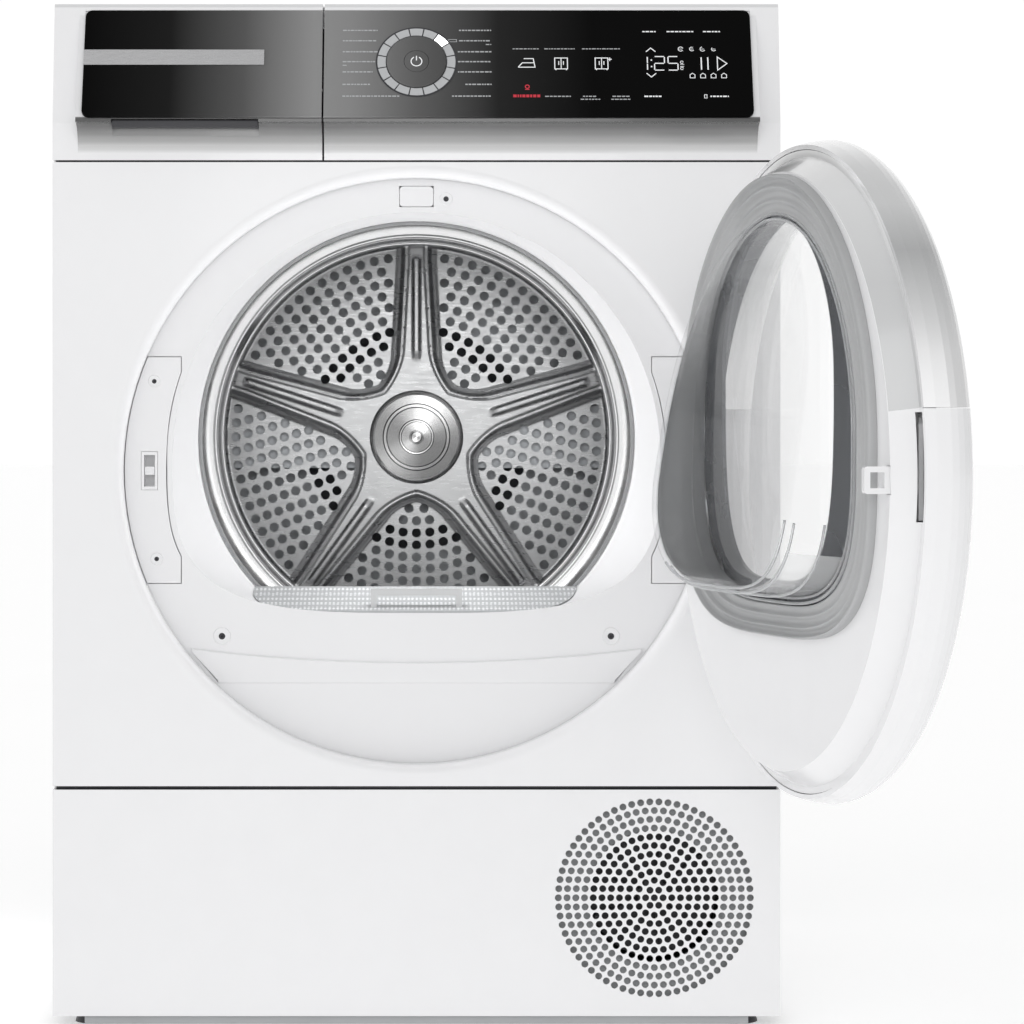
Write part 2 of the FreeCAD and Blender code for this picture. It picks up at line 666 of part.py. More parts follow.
def fascia_strip(x0, x1, y_in, thickness):
    """Flat glass overlay lying on the tilted face between two X positions."""
    low = V(0, FASCIA_BOTTOM_Y, FASCIA_BOTTOM_Z) - FACE_NORMAL * y_in
    high = V(0, FASCIA_TOP_Y, FASCIA_TOP_Z) - FACE_NORMAL * y_in
    corners = [V(x0, low.y, low.z), V(x1, low.y, low.z), V(x1, high.y, high.z), V(x0, high.y, high.z)]
    return Part.Face(Part.makePolygon(corners + corners[:1])).extrude(FACE_NORMAL * (-thickness))


def control_panel():
    body = panel_body(DRAWER_SEAM_X + SEAM, SIDE_X)
    body = body.fuse(fascia_wedge(DRAWER_SEAM_X + SEAM, FASCIA_RIGHT + 5)).removeSplitter()
    body = body.cut(fascia_strip(DRAWER_SEAM_X - 5, FASCIA_RIGHT + 0.3, -20, 22.3))
    end = box(SIDE_X - 2.4, SIDE_X, FRONT_Y + 2.6, FRONT_Y + 15.8, PANEL_GAP_Z + 0.8, 742)
    body = body.fuse(end)
    return body.cut(rod(on_fascia(8), FACE_NORMAL * -1, 33.4, 60)).removeSplitter()


def fascia_glass():
    glass = fascia_strip(DRAWER_SEAM_X + SEAM, FASCIA_RIGHT, 0, 2.0)
    edges = [e for e in glass.Edges if e.BoundBox.XMin > FASCIA_RIGHT - 1 and e.Length < 3]
    glass = glass.makeFillet(6, edges)
    return glass.cut(rod(on_fascia(8), FACE_NORMAL * -1, 33.1, 30))


def light_ring():
    ring = tube(on_fascia(0.2), FACE_NORMAL * -1, RING_OUTER_R, RING_INNER, 10)
    for k in range(16):
        gap = box(RING_INNER - 2, RING_OUTER_R - 1.0, -0.4, 0.4, -0.7, 1)
        gap.rotate(V(0, 0, 0), V(0, 0, 1), 360.0 * (k + 0.5) / 16)
        gap.rotate(V(0, 0, 0), V(1, 0, 0), 90 - FASCIA_TILT)
        gap.translate(on_fascia(0.2))
        ring = ring.cut(gap)
    return ring


def selector_knob():
    knob = tube(on_fascia(1.6), FACE_NORMAL * -1, RING_INNER - 0.35, 10.35, 12)
    rim = [e for e in knob.Edges if abs(e.Length - 2 * math.pi * (RING_INNER - 0.35)) < 0.1]
    front = sorted(rim, key=lambda e: e.BoundBox.YMin)[:1]
    return knob.makeFillet(0.8, front)


def power_button():
    return rod(on_fascia(1.5), FACE_NORMAL * -1, 10.0, 8)


def drawer_front():
    x1 = DRAWER_SEAM_X - SEAM
    body = panel_body(-SIDE_X, x1)
    body = body.fuse(fascia_wedge(FASCIA_LEFT - 5, x1)).removeSplitter()
    body = body.cut(fascia_strip(FASCIA_LEFT - 0.3, x1 + 5, -20, 22.3))
    body = body.cut(box(-249, -129, FRONT_Y - 40, FRONT_Y - 5, 729, 743.2))
    end = box(-SIDE_X, -SIDE_X + 2.4, FRONT_Y + 2.6, FRONT_Y + 15.8, PANEL_GAP_Z + 0.8, 742)
    return body.fuse(end).removeSplitter()


def drawer_fascia_glass():
    glass = fascia_strip(FASCIA_LEFT, DRAWER_SEAM_X - SEAM, 0, 2.0)
    edges = [e for e in glass.Edges if e.BoundBox.XMax < FASCIA_LEFT + 1 and e.Length < 3]
    return glass.makeFillet(6, edges)


def drawer_trim_strip():
    strip = fascia_strip(-273.0, -125.0, -0.9, 0.88)
    middle = FASCIA_BOTTOM_Z + 0.5 * FASCIA_RISE
    return strip.common(box(-280, -120, FRONT_Y - 60, FRONT_Y + 60, middle - 1.5, middle + 11.5))


def water_tank():
    y0 = FRONT_Y + 36.4
    tank = box(-283, DRAWER_SEAM_X - 10, y0, y0 + 400, 768, 808)
    tank = tank.cut(box(-280, DRAWER_SEAM_X - 13, y0 + 3, y0 + 397, 771, 812))
    yoke = box(-240, -140, FRONT_Y + 3.0, y0, 786, 796)
    return tank.fuse(yoke.cut(panel_cutter)).removeSplitter()


# ---------------------------------------------------------------- door, drawn closed

def door_ring_profile():
    """Section of the outer ring: seam, widening rim, rounded crest, and a dished slope to the pane."""
    y = FRONT_Y
    points = [(DOOR_R - 3.5, y - DOOR_GAP), (DOOR_R, y - DOOR_GAP), (DOOR_R + 2.5, y - 12)]
    points.append((DOOR_RING_R, y - 22))
    crest_r, crest_y = 222.0, y - DOOR_THICK
    for i in range(1, 8):
        a = math.radians(90.0 * i / 7)
        radius = crest_r + (DOOR_RING_R - crest_r) * math.cos(a)
        points.append((radius, y - 22 - (DOOR_THICK - 22) * math.sin(a)))
    for i in range(1, 7):
        t = i / 6.0
        bend = math.sin(0.5 * math.pi * t)
        rise = 1 - math.cos(0.5 * math.pi * t)
        points.append((crest_r - (crest_r - RING_INNER_R) * bend, crest_y + (DOOR_THICK - 17) * rise))
    points.append((RING_INNER_R, PANE_Y + 3))
    points.append((RING_INNER_R + 3, PANE_Y + 3))
    points.append((RING_INNER_R + 3, PANE_Y - 3))
    points.append((crest_r, crest_y + 4))
    points.append((DOOR_RING_R - 7, y - 26))
    points.append((DOOR_R - 3.5, y - 16))
    return points


def door_ring(upper):
    ring = turned(door_ring_profile(), 0, DOOR_Z)
    seam = DOOR_Z + 47
    half = box(-300, 300, FRONT_Y - 60, FRONT_Y + 10, seam + 0.25, 900)
    if not upper:
        half = box(-300, 300, FRONT_Y - 60, FRONT_Y + 10, 100, seam - 0.25)
    return ring.common(half).cut(hinge_slots() + [hinge_room()])


def door_inner_frame():
    """White back of the door: flat rim, cone into the recess, level land round the window."""
    y = FRONT_Y
    outside = [(DOOR_R - 4, y - 15), (DOOR_R - 4, y - 5), (236, y - 5), (224, y + 14), (0, y + 14)]
    inside = [(0, y + 11), (221, y + 11), (232, y - 8), (RING_INNER_R + 4, y - 8), (RING_INNER_R + 4, y - 12)]
    body = turned(outside + inside + [(DOOR_R - 10, y - 15)], 0, DOOR_Z)
    hole = d_wire(178, 658, 352, y - 30)
    body = body.cut(Part.Face(hole).extrude(V(0, 60, 0)))
    grip = box(-250, -215, y - 60, y - 2, DOOR_Z - 32, DOOR_Z + 44)
    tongue_slot = box(HOOK_X - 3.0, HOOK_X + 3.0, y - 20, y + 20, HOOK_Z - 10.0, HOOK_Z + 10.0)
    return body.cut([grip, tongue_slot, hinge_room()] + hinge_slots())


def door_gasket():
    """Grey lip seal round the window that closes against the shield."""
    y = FRONT_Y + 14.1
    return slab(d_wire(200, 682, 336, y), 7.0, d_wire(166, 652, 360, y))


def door_window_frame():
    """Dark cone between the outer pane and the glass bowl."""
    y0, y1 = PANE_Y + 4.0, FRONT_Y + 11.0
    outer = loft(circle_wire(RING_INNER_R + 0.5, DOOR_Z, y0),
                 d_wire(WINDOW_HALF + 40, WINDOW_TOP + 6, WINDOW_BOTTOM - 6, y1))
    inner = loft(circle_wire(RING_INNER_R - 2.5, DOOR_Z, y0 - 0.1),
                 d_wire(WINDOW_HALF + 37, WINDOW_TOP + 3, WINDOW_BOTTOM - 3, y1 + 0.1))
    cone = outer.cut(inner)
    land = slab(d_wire(WINDOW_HALF + 40, WINDOW_TOP + 6, WINDOW_BOTTOM - 6, y1), 3.0,
                d_wire(WINDOW_HALF, WINDOW_TOP, WINDOW_BOTTOM, y1))
    return cone.fuse(land)


def door_window_pane():
    return rod((0, PANE_Y, DOOR_Z), (0, 1, 0), RING_INNER_R - 0.4, 3.6)


def door_glass_bowl():
    """Clear bowl that turns the laundry back into the drum: shallow at the top, deep at the bottom."""
    y0 = FRONT_Y + 14.5
    shape = []
    for inset in (0.0, 4.5):
        cup = loft(d_wire(162 - inset, 650 - inset, 364 + inset, y0 - (0.0 if inset == 0 else 0.1)),
                   d_wire(150 - inset, 636 - inset, 374 + inset, y0 + 90))
        deep = y0 - inset
        side = [(y0 - 5, 700), (deep + 10, 700), (deep + 15, 640), (deep + 42, 470)]
        slope = prism_x(side + [(deep + 50, 420), (deep + 50, 300), (y0 - 5, 300)], -220, 220)
        shape.append(cup.common(slope))
    flange = slab(d_wire(165.5, 651.5, 360.5, y0), 4.0, d_wire(156, 643, 370, y0))
    return shape[0].cut(shape[1]).fuse(flange)


HOOK_Z = 456.0
HOOK_X = -221.0


def door_hook():
    """Latch hook: flat tongue with a window for the sprung catch."""
    y = FRONT_Y
    tongue = box(HOOK_X - 2.5, HOOK_X + 2.5, y - 6, y + 33, HOOK_Z - 9.5, HOOK_Z + 9.5)
    tip = [e for e in tongue.Edges if e.BoundBox.YMin > y + 32 and e.BoundBox.XLength > 4]
    tongue = tongue.makeFillet(2.5, tip)
    return tongue.cut(box(HOOK_X - 5, HOOK_X + 5, y + 18, y + 28.5, HOOK_Z - 5.5, HOOK_Z + 5.5))


def door_hook_plate():
    y = FRONT_Y
    return box(HOOK_X - 5.6, HOOK_X + 5.6, y - 9.5, y - 6.1, DOOR_Z - 31, DOOR_Z + 36)


def door_grip():
    """Finger recess in the free edge of the door."""
    y = FRONT_Y
    cup = box(-239, -214.6, y - 22, y - 9.8, DOOR_Z - 31, DOOR_Z + 43)
    cup = cup.common(tube((0, y - 60, DOOR_Z), (0, 1, 0), 240.8, RING_INNER_R + 16.4, 60))
    return cup.cut(box(-236.5, -218, y - 19.6, y, DOOR_Z - 28.5, DOOR_Z + 40.5))


HINGE_ARM_Z = (DOOR_Z - 36.0, DOOR_Z + 26.0)
HINGE_ARM_HIGH = 10.0


def hinge_room():
    """Pocket in the door's edge round the knuckle and the leaf."""
    low, high = HINGE_ARM_Z[0] + HINGE_ARM_HIGH, HINGE_ARM_Z[1]
    pocket = box(HINGE_X - 30.3, HINGE_X, HINGE_Y + 2.7, HINGE_Y + 6.3, low, high)
    return pocket.fuse(rod((HINGE_X, HINGE_Y, low), (0, 0, 1), 6.4, high - low))


def hinge_slots():
    """Room in the door's edge that the two fixed hinge arms pass through as the door swings."""
    slots = []
    for z in HINGE_ARM_Z:
        sector = Part.makeCylinder(47, HINGE_ARM_HIGH + 1.6, V(HINGE_X, HINGE_Y, z - 0.8), V(0, 0, 1), 190)
        sector.rotate(V(HINGE_X, HINGE_Y, 0), V(0, 0, 1), -34)
        slots.append(sector.fuse(rod((HINGE_X, HINGE_Y, z - 0.8), (0, 0, 1), 7.2, HINGE_ARM_HIGH + 1.6)))
    return slots


def door_hinge_leaf():
    x = HINGE_X
    y = HINGE_Y
    low, high = HINGE_ARM_Z[0] + HINGE_ARM_HIGH + 0.4, HINGE_ARM_Z[1] - 0.4
    leaf = box(x - 30, x - 1, y + 3, y + 6, low, high)
    knuckle = rod((x, y, low), (0, 0, 1), 6, high - low)
    return leaf.fuse(knuckle).cut(rod((x, y, low - 5), (0, 0, 1), 3 + FIT, high - low + 10)).removeSplitter()


def door_hinge_bracket():
    """Fixed half of the hinge: two arms reach out of the recess from a foot on the hinge plate."""
    x = HINGE_X
    y = HINGE_Y
    back = FRONT_Y + SHIELD_DEPTH - 1.3
    bracket = box(x - 33, x - 3.5, back - 3, back, HINGE_ARM_Z[0], HINGE_ARM_Z[1] + HINGE_ARM_HIGH)
    for z in HINGE_ARM_Z:
        eye = rod((x, y, z), (0, 0, 1), 6, HINGE_ARM_HIGH)
        arm = box(x - 8.5, x - 3.5, y, back, z, z + HINGE_ARM_HIGH)
        bracket = bracket.fuse([eye, arm])
    return bracket.cut(rod((x, y, DOOR_Z - 60), (0, 0, 1), 3, 120)).removeSplitter()


def door_hinge_pin():
    low, high = HINGE_ARM_Z[0], HINGE_ARM_Z[1] + HINGE_ARM_HIGH
    return rod((HINGE_X, HINGE_Y, low), (0, 0, 1), 3, high - low)


# ---------------------------------------------------------------- write every node

panel_cutter = panel_body(-SIDE_X - 1, DRAWER_SEAM_X).fuse(fascia_wedge(-280, DRAWER_SEAM_X))
filter_cover_shape = filter_cover()
left_roller, left_block = support_roller(ROLLER_ANGLES[0])
right_roller, right_block = support_roller(ROLLER_ANGLES[1])

save("front_panel", front_panel())
save("side_panel_left", side_panel(-1))
save("side_panel_right", side_panel(1))
save("top_cover", top_cover())
save("rear_panel", rear_panel())
save("rear_duct_cover", rear_duct_cover())
save("base_pan", base_pan())
save("kick_panel", kick_panel())
save("feet", *feet())
save("front_shield", front_shield())
save("loading_funnel", loading_funnel())
save("latch_plate", side_plate(-1), latch_bezel())
save("hinge_plate", side_plate(1))
save("latch_catch", latch_catch())
save("shield_screws", *shield_screws())
save("lamp_cover", lamp_cover())
save("front_bulkhead", front_bulkhead())
save("drum_front_felt", drum_front_felt())
save("lint_filter_cover", filter_cover_shape)
save("lint_filter_pocket", filter_pocket(), filter_handle())
save("filter_housing", filter_housing())
save("drum_shell", drum_shell())
save("drum_rear_wall", drum_rear_wall())
save("drum_hub", drum_hub(), drum_shaft())
save("drum_lifters", *drum_lifters())
save("support_roller_left", left_roller)
save("support_roller_right", right_roller)
save("drive_brackets", left_block, right_block, rear_bearing_bracket(), tensioner_pivot())
save("drive_motor", drive_motor())
save("motor_pulley", motor_pulley())
save("process_fan", process_fan())
save("drive_belt", drive_belt())
save("belt_tensioner_arm", tensioner_arm())
save("belt_tensioner_pulley", tensioner_pulley())
save("compressor", compressor())
save("heat_exchangers", *heat_exchangers())
save("cooling_fan", cooling_fan())
save("cooling_fan_motor", cooling_fan_motor())
save("control_board", control_board())
save("mains_inlet_gland", mains_inlet_gland())
save("drain_spigot", drain_spigot())
save("control_panel", control_panel())
save("fascia_glass", fascia_glass())
save("light_ring", light_ring())
save("selector_knob", selector_knob())
save("power_button", power_button())
save("drawer_front", drawer_front())
save("drawer_fascia_glass", drawer_fascia_glass())
save("drawer_trim_strip", drawer_trim_strip())
save("water_tank", water_tank())
save("door_ring_upper", opened(door_ring(True)))
save("door_ring_lower", opened(door_ring(False)))
save("door_inner_frame", opened(door_inner_frame()), opened(door_grip()))
save("door_gasket", opened(door_gasket()))
save("door_window_frame", opened(door_window_frame()))
save("door_window_pane", opened(door_window_pane()))
save("door_glass_bowl", opened(door_glass_bowl()))
save("door_hook", opened(door_hook()), opened(door_hook_plate()))
save("door_hinge_leaf", opened(door_hinge_leaf()))
save("door_hinge_bracket", door_hinge_bracket(), door_hinge_pin())
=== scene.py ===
import itertools
import json
import math

import bmesh
import bpy
import numpy as np
from mathutils import Matrix, Vector


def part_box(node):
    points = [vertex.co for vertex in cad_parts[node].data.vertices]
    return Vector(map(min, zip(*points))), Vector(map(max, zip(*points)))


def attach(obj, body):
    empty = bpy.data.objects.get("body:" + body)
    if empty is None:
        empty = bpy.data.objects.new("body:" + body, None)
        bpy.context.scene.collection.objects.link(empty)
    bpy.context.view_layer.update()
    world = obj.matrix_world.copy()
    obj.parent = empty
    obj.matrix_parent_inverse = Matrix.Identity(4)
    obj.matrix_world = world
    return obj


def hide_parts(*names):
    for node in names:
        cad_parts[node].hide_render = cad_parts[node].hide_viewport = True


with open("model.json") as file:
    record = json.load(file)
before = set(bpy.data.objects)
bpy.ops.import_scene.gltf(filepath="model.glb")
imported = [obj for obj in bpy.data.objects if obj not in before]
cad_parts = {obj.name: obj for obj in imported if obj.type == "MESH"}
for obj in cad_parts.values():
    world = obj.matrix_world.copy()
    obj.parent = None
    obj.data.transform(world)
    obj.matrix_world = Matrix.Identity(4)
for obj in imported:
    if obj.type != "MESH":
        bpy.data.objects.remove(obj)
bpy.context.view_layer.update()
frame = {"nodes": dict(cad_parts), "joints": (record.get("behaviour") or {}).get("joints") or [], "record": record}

MM = 0.001
NODES = frame["nodes"]
JOINTS = {j["name"]: j for j in frame["joints"]}

# ------------------------------------------------------------------ places read from the frame
shield_lo, shield_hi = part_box("front_shield")
drum_lo, drum_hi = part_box("drum_shell")
glass_lo, glass_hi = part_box("fascia_glass")
FRONT_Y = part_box("front_panel")[0].y
SHIELD_Y = shield_lo.y
DRUM_BACK_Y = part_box("drum_rear_wall")[0].y
DRUM_AXIS = Vector((0, 0, (drum_lo.z + drum_hi.z) / 2))
RECESS_Z = (shield_lo.z + shield_hi.z) / 2
HINGE = Vector(JOINTS["door_hinge"]["pos_m"])
DOOR_OPEN = math.radians(-JOINTS["door_hinge"]["range_deg"][0])
KNOB = Vector(JOINTS["selector_turn"]["pos_m"])
FACE_NORMAL = Vector(JOINTS["selector_turn"]["axis"])
FACE_UP = Vector((0, FACE_NORMAL.z, -FACE_NORMAL.y))


# ------------------------------------------------------------------ node helpers
def material(name, base, rough=0.4, metal=0.0, **sockets):
    """New Principled material, returned with its node tree and its shader."""
    m = bpy.data.materials.new(name)
    m.use_nodes = True
    tree = m.node_tree
    shader = tree.nodes["Principled BSDF"]
    shader.inputs["Base Color"].default_value = (*base, 1)
    shader.inputs["Roughness"].default_value = rough
    shader.inputs["Metallic"].default_value = metal
    for key, value in sockets.items():
        shader.inputs[key.replace("_", " ")].default_value = value
    return m, tree, shader


def add(tree, kind, **values):
    node = tree.nodes.new(kind)
    for key, value in values.items():
        setattr(node, key, value)
    return node


def object_coords(tree):
    return add(tree, "ShaderNodeTexCoord").outputs["Object"]


def split_coords(tree):
    """Separate object coordinates, read by the outputs X, Y and Z."""
    node = add(tree, "ShaderNodeSeparateXYZ")
    tree.links.new(object_coords(tree), node.inputs["Vector"])
    return node


def spread(tree, value, low, high, to_low=0.0, to_high=1.0):
    """Map a value from low..high to to_low..to_high, held at the ends."""
    node = add(tree, "ShaderNodeMapRange")
    node.inputs["From Min"].default_value = low
    node.inputs["From Max"].default_value = high
    node.inputs["To Min"].default_value = to_low
    node.inputs["To Max"].default_value = to_high
    tree.links.new(value, node.inputs["Value"])
    return node.outputs["Result"]


def compute(tree, operation, *inputs):
    """Math node fed by sockets and plain numbers."""
    node = add(tree, "ShaderNodeMath", operation=operation)
    for slot, value in zip(node.inputs, inputs):
        if isinstance(value, (int, float)):
            slot.default_value = value
        else:
            tree.links.new(value, slot)
    return node.outputs[0]


def noise(tree, scale, detail=3.0, stretch=None):
    source = object_coords(tree)
    if stretch:
        mapping = add(tree, "ShaderNodeMapping")
        mapping.inputs["Scale"].default_value = stretch
        tree.links.new(source, mapping.inputs["Vector"])
        source = mapping.outputs["Vector"]
    node = add(tree, "ShaderNodeTexNoise")
    node.inputs["Scale"].default_value = scale
    node.inputs["Detail"].default_value = detail
    tree.links.new(source, node.inputs["Vector"])
    return node.outputs["Fac"]


def ramp(tree, value, stops):
    node = add(tree, "ShaderNodeValToRGB")
    elements = node.color_ramp.elements
    while len(elements) < len(stops):
        elements.new(0.5)
    for element, (place, colour) in zip(elements, stops):
        element.position = place
        element.color = (*colour, 1) if len(colour) == 3 else colour
    tree.links.new(value, node.inputs["Fac"])
    return node.outputs["Color"]


def grey(v):
    return (v, v, v)


def vary(tree, shader, base, amount, scale, rough=None, stretch=None):
    """Colour shifts by amount and roughness spans the given pair, both driven by noise."""
    value = noise(tree, scale, 4.0, stretch)
    dark = [max(0.0, c * (1 - amount)) for c in base]
    light = [min(1.0, c * (1 + amount)) for c in base]
    tree.links.new(ramp(tree, value, [(0.3, dark), (0.7, light)]), shader.inputs["Base Color"])
    if rough:
        gloss = ramp(tree, value, [(0.3, grey(rough[0])), (0.7, grey(rough[1]))])
        tree.links.new(gloss, shader.inputs["Roughness"])


def bump(tree, shader, height, strength, distance):
    node = add(tree, "ShaderNodeBump")
    node.inputs["Strength"].default_value = strength
    node.inputs["Distance"].default_value = distance
    tree.links.new(height, node.inputs["Height"])
    tree.links.new(node.outputs["Normal"], shader.inputs["Normal"])


# ------------------------------------------------------------------ materials
def white_enamel():
    """Baked white paint with a faint orange-peel surface."""
    base = (0.86, 0.86, 0.87)
    m, tree, shader = material("white_enamel", base, 0.28, Coat_Weight=0.35, Coat_Roughness=0.12)
    vary(tree, shader, base, 0.004, 30.0, (0.275, 0.29))
    bump(tree, shader, noise(tree, 420.0, 2.0), 0.04, 0.0004)
    return m


def white_plastic():
    """White moulding with a fine matt grain."""
    base = (0.84, 0.84, 0.85)
    m, tree, shader = material("white_plastic", base, 0.34, Specular_IOR_Level=0.45)
    vary(tree, shader, base, 0.01, 6.0, (0.34, 0.42))
    bump(tree, shader, noise(tree, 1600.0, 2.0), 0.08, 0.0003)
    return m


def gloss_plastic(name, base, rough, coat):
    """Smooth lacquered moulding."""
    m, tree, shader = material(name, base, rough[0], Coat_Weight=coat, Coat_Roughness=0.05)
    vary(tree, shader, base, 0.006, 30.0, rough)
    return m


def silver_plastic():
    """Pearl silver of the upper door ring, with a painted reflection over its height: white at the lower end and
    at the top, a dark streak between.
    """
    m, tree, shader = material("silver_plastic", (0.75, 0.755, 0.76), 0.14, 0.45, Coat_Weight=0.6,
                               Coat_Roughness=0.04)
    lo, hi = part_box("door_ring_upper")
    height = spread(tree, split_coords(tree).outputs["Z"], lo.z, hi.z)
    # Painted reflection: pale at both ends of the ring's height, a dark streak across the middle.
    stops = [(0.0, (0.92, 0.92, 0.925)), (0.2, (0.90, 0.90, 0.905)), (0.42, (0.72, 0.725, 0.73))]
    stops += [(0.55, (0.60, 0.605, 0.61)), (0.72, (0.88, 0.885, 0.89)), (1.0, (0.92, 0.92, 0.925))]
    tree.links.new(ramp(tree, height, stops), shader.inputs["Base Color"])
    return m


def panel_gloss():
    """White gloss moulding of the control strip, in deep shade where it dishes in under the glass."""
    m, tree, shader = material("panel_gloss", (0.86, 0.86, 0.87), 0.18, Coat_Weight=0.3, Coat_Roughness=0.05)
    split = split_coords(tree)
    out = spread(tree, split.outputs["Y"], FRONT_Y, glass_lo.y)
    below = spread(tree, split.outputs["Z"], glass_lo.z + 1 * MM, glass_lo.z - 1 * MM)
    shade = compute(tree, "MULTIPLY", out, below)
    stops = [(0.0, (0.86, 0.86, 0.87)), (0.015, grey(0.66)), (0.08, grey(0.42)), (0.22, grey(0.26))]
    stops += [(0.45, grey(0.15)), (1.0, grey(0.05))]
    tree.links.new(ramp(tree, shade, stops), shader.inputs["Base Color"])
    return m


def fascia_black():
    """Deep gloss overlay, with a broad soft grey sheen painted across it."""
    m, tree, shader = material("fascia_black", (0.01, 0.01, 0.011), 0.14, IOR=1.22, Specular_IOR_Level=0.30)
    across = spread(tree, split_coords(tree).outputs["X"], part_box("drawer_fascia_glass")[0].x, glass_hi.x)
    # Painted sheen: a soft grey band across the black, lightest about a third of the way along.
    stops = [(0.0, grey(0.001)), (0.13, grey(0.012)), (0.24, grey(0.10)), (0.345, grey(0.29))]
    stops += [(0.40, grey(0.26)), (0.50, grey(0.12)), (0.62, grey(0.02)), (0.76, grey(0.002))]
    stops += [(1.0, grey(0.001))]
    tree.links.new(ramp(tree, across, stops), shader.inputs["Base Color"])
    mottle = noise(tree, 5.0, 2.0)
    tree.links.new(ramp(tree, mottle, [(0.3, grey(0.12)), (0.7, grey(0.18))]), shader.inputs["Roughness"])
    return m


def brushed(name, base, rough, stretch, depth=0.1):
    """Metal with fine lines; the stretch of the noise sets their direction."""
    m, tree, shader = material(name, base, rough[0], 1.0)
    vary(tree, shader, base, 0.06, 90.0, rough, stretch)
    bump(tree, shader, noise(tree, 160.0, 3.0, stretch), depth, 0.0003)
    return m


def plain(name, base, rough, metal=0.0, grain=900.0, **sockets):
    """One colour with a slight mottle and a fine grain."""
    m, tree, shader = material(name, base, rough[0], metal, **sockets)
    vary(tree, shader, base, 0.05, 14.0, rough)
    bump(tree, shader, noise(tree, grain, 2.0), 0.1, 0.0004)
    return m


def clear_glass():
    """Thin clear moulding: hardly bends what lies behind it, with the gloss of a polished skin."""
    m, tree, shader = material("clear_glass", (0.98, 0.985, 0.985), 0.02, IOR=1.04, Coat_Weight=0.6,
                               Coat_Roughness=0.03, Alpha=0.17)
    shader.inputs["Transmission Weight"].default_value = 1.0
    streak = noise(tree, 30.0, 2.0)
    tree.links.new(ramp(tree, streak, [(0.3, grey(0.01)), (0.7, grey(0.03))]), shader.inputs["Roughness"])
    return m


def dotted_filter():
    """Fine mesh of the lint filter: white dots in a grey web."""
    m, tree, shader = material("filter_plastic", (0.62, 0.63, 0.64), 0.45)
    cells = add(tree, "ShaderNodeTexVoronoi", feature="F1")
    cells.inputs["Scale"].default_value = 290.0
    cells.inputs["Randomness"].default_value = 0.12
    tree.links.new(object_coords(tree), cells.inputs["Vector"])
    spots = ramp(tree, cells.outputs["Distance"], [(0.30, (0.86, 0.87, 0.88)), (0.42, (0.46, 0.47, 0.48))])
    tree.links.new(spots, shader.inputs["Base Color"])
    bump(tree, shader, cells.outputs["Distance"], 0.5, 0.0006)
    return m


def pressed_steel():
    """Polished stainless pressing: bright, with faint rolled streaks and a soft mottle."""
    base = (0.53, 0.535, 0.54)
    m, tree, shader = material("pressed_steel", base, 0.28, 1.0)
    vary(tree, shader, base, 0.04, 60.0, (0.25, 0.36), (1, 1, 8))
    bump(tree, shader, noise(tree, 900.0, 2.0), 0.02, 0.0001)
    return m


def lit_rim_steel():
    """Plain rolled rim of the drum back, painted brighter than the pierced fields to stand for the light on it."""
    # Painted light: this pale base is a lit copy of the drum steel.
    base = (0.90, 0.903, 0.906)
    m, tree, shader = material("lit_rim_steel", base, 0.22, 0.92)
    vary(tree, shader, base, 0.03, 50.0, (0.18, 0.26))
    return m


RING_PHASE = 9000.0
SHEEN_LOBES = 2.0
SHEEN_TURN = -1.2


def turned_steel():
    """Lathe-turned cap: fine concentric rings, and a two-lobed sheen round the middle."""
    m, tree, shader = material("turned_steel", (0.80, 0.80, 0.81), 0.18, 1.0)
    split = split_coords(tree)
    height = compute(tree, "SUBTRACT", split.outputs["Z"], DRUM_AXIS.z)
    flat = add(tree, "ShaderNodeCombineXYZ")
    tree.links.new(split.outputs["X"], flat.inputs["X"])
    tree.links.new(height, flat.inputs["Z"])
    radius = add(tree, "ShaderNodeVectorMath", operation="LENGTH")
    tree.links.new(flat.outputs[0], radius.inputs[0])
    rings = compute(tree, "SINE", compute(tree, "MULTIPLY", radius.outputs["Value"], RING_PHASE))
    bump(tree, shader, rings, 0.12, 0.0001)
    angle = compute(tree, "ARCTAN2", split.outputs["X"], height)
    wave = compute(tree, "COSINE", compute(tree, "MULTIPLY_ADD", angle, SHEEN_LOBES, SHEEN_TURN))
    stops = [(0.0, grey(0.36)), (0.5, grey(0.52)), (0.85, grey(0.78)), (1.0, grey(0.92))]
    sheen = ramp(tree, compute(tree, "MULTIPLY_ADD", wave, 0.5, 0.5), stops)
    tree.links.new(sheen, shader.inputs["Base Color"])
    return m


def glowing(name, base, strength):
    """Mark that shines by itself: a lamp for the lit light guide, painted light for the printed marks."""
    m, tree, shader = material(name, base, 0.35, Emission_Strength=strength)
    shader.inputs["Emission Color"].default_value = (*base, 1)
    vary(tree, shader, base, 0.03, 60.0)
    return m


def reflection_veil():
    """Grey translucent strip, a painted reflection, that fades out towards the top of the bowl."""
    # Painted reflection: grey laid over the hinge-side wall of the bowl.
    base = (0.27, 0.275, 0.28)
    m, tree, shader = material("reflection_veil", base, 0.3)
    vary(tree, shader, base, 0.05, 8.0, (0.28, 0.36))
    height = split_coords(tree).outputs["Z"]
    fade = spread(tree, height, HINGE.z + 60 * MM, HINGE.z + 170 * MM, 0.92, 0.0)
    tree.links.new(fade, shader.inputs["Alpha"])
    return m


def lip_glass():
    """Bright edge of the clear moulding: its near-white, half-clear colour is a painted highlight."""
    # Painted highlight: whiter and less clear than the bowl.
    base = (0.90, 0.91, 0.92)
    m, tree, shader = material("lip_glass", base, 0.06, IOR=1.35)
    shader.inputs["Transmission Weight"].default_value = 0.7
    vary(tree, shader, base, 0.02, 40.0, (0.04, 0.09))
    return m


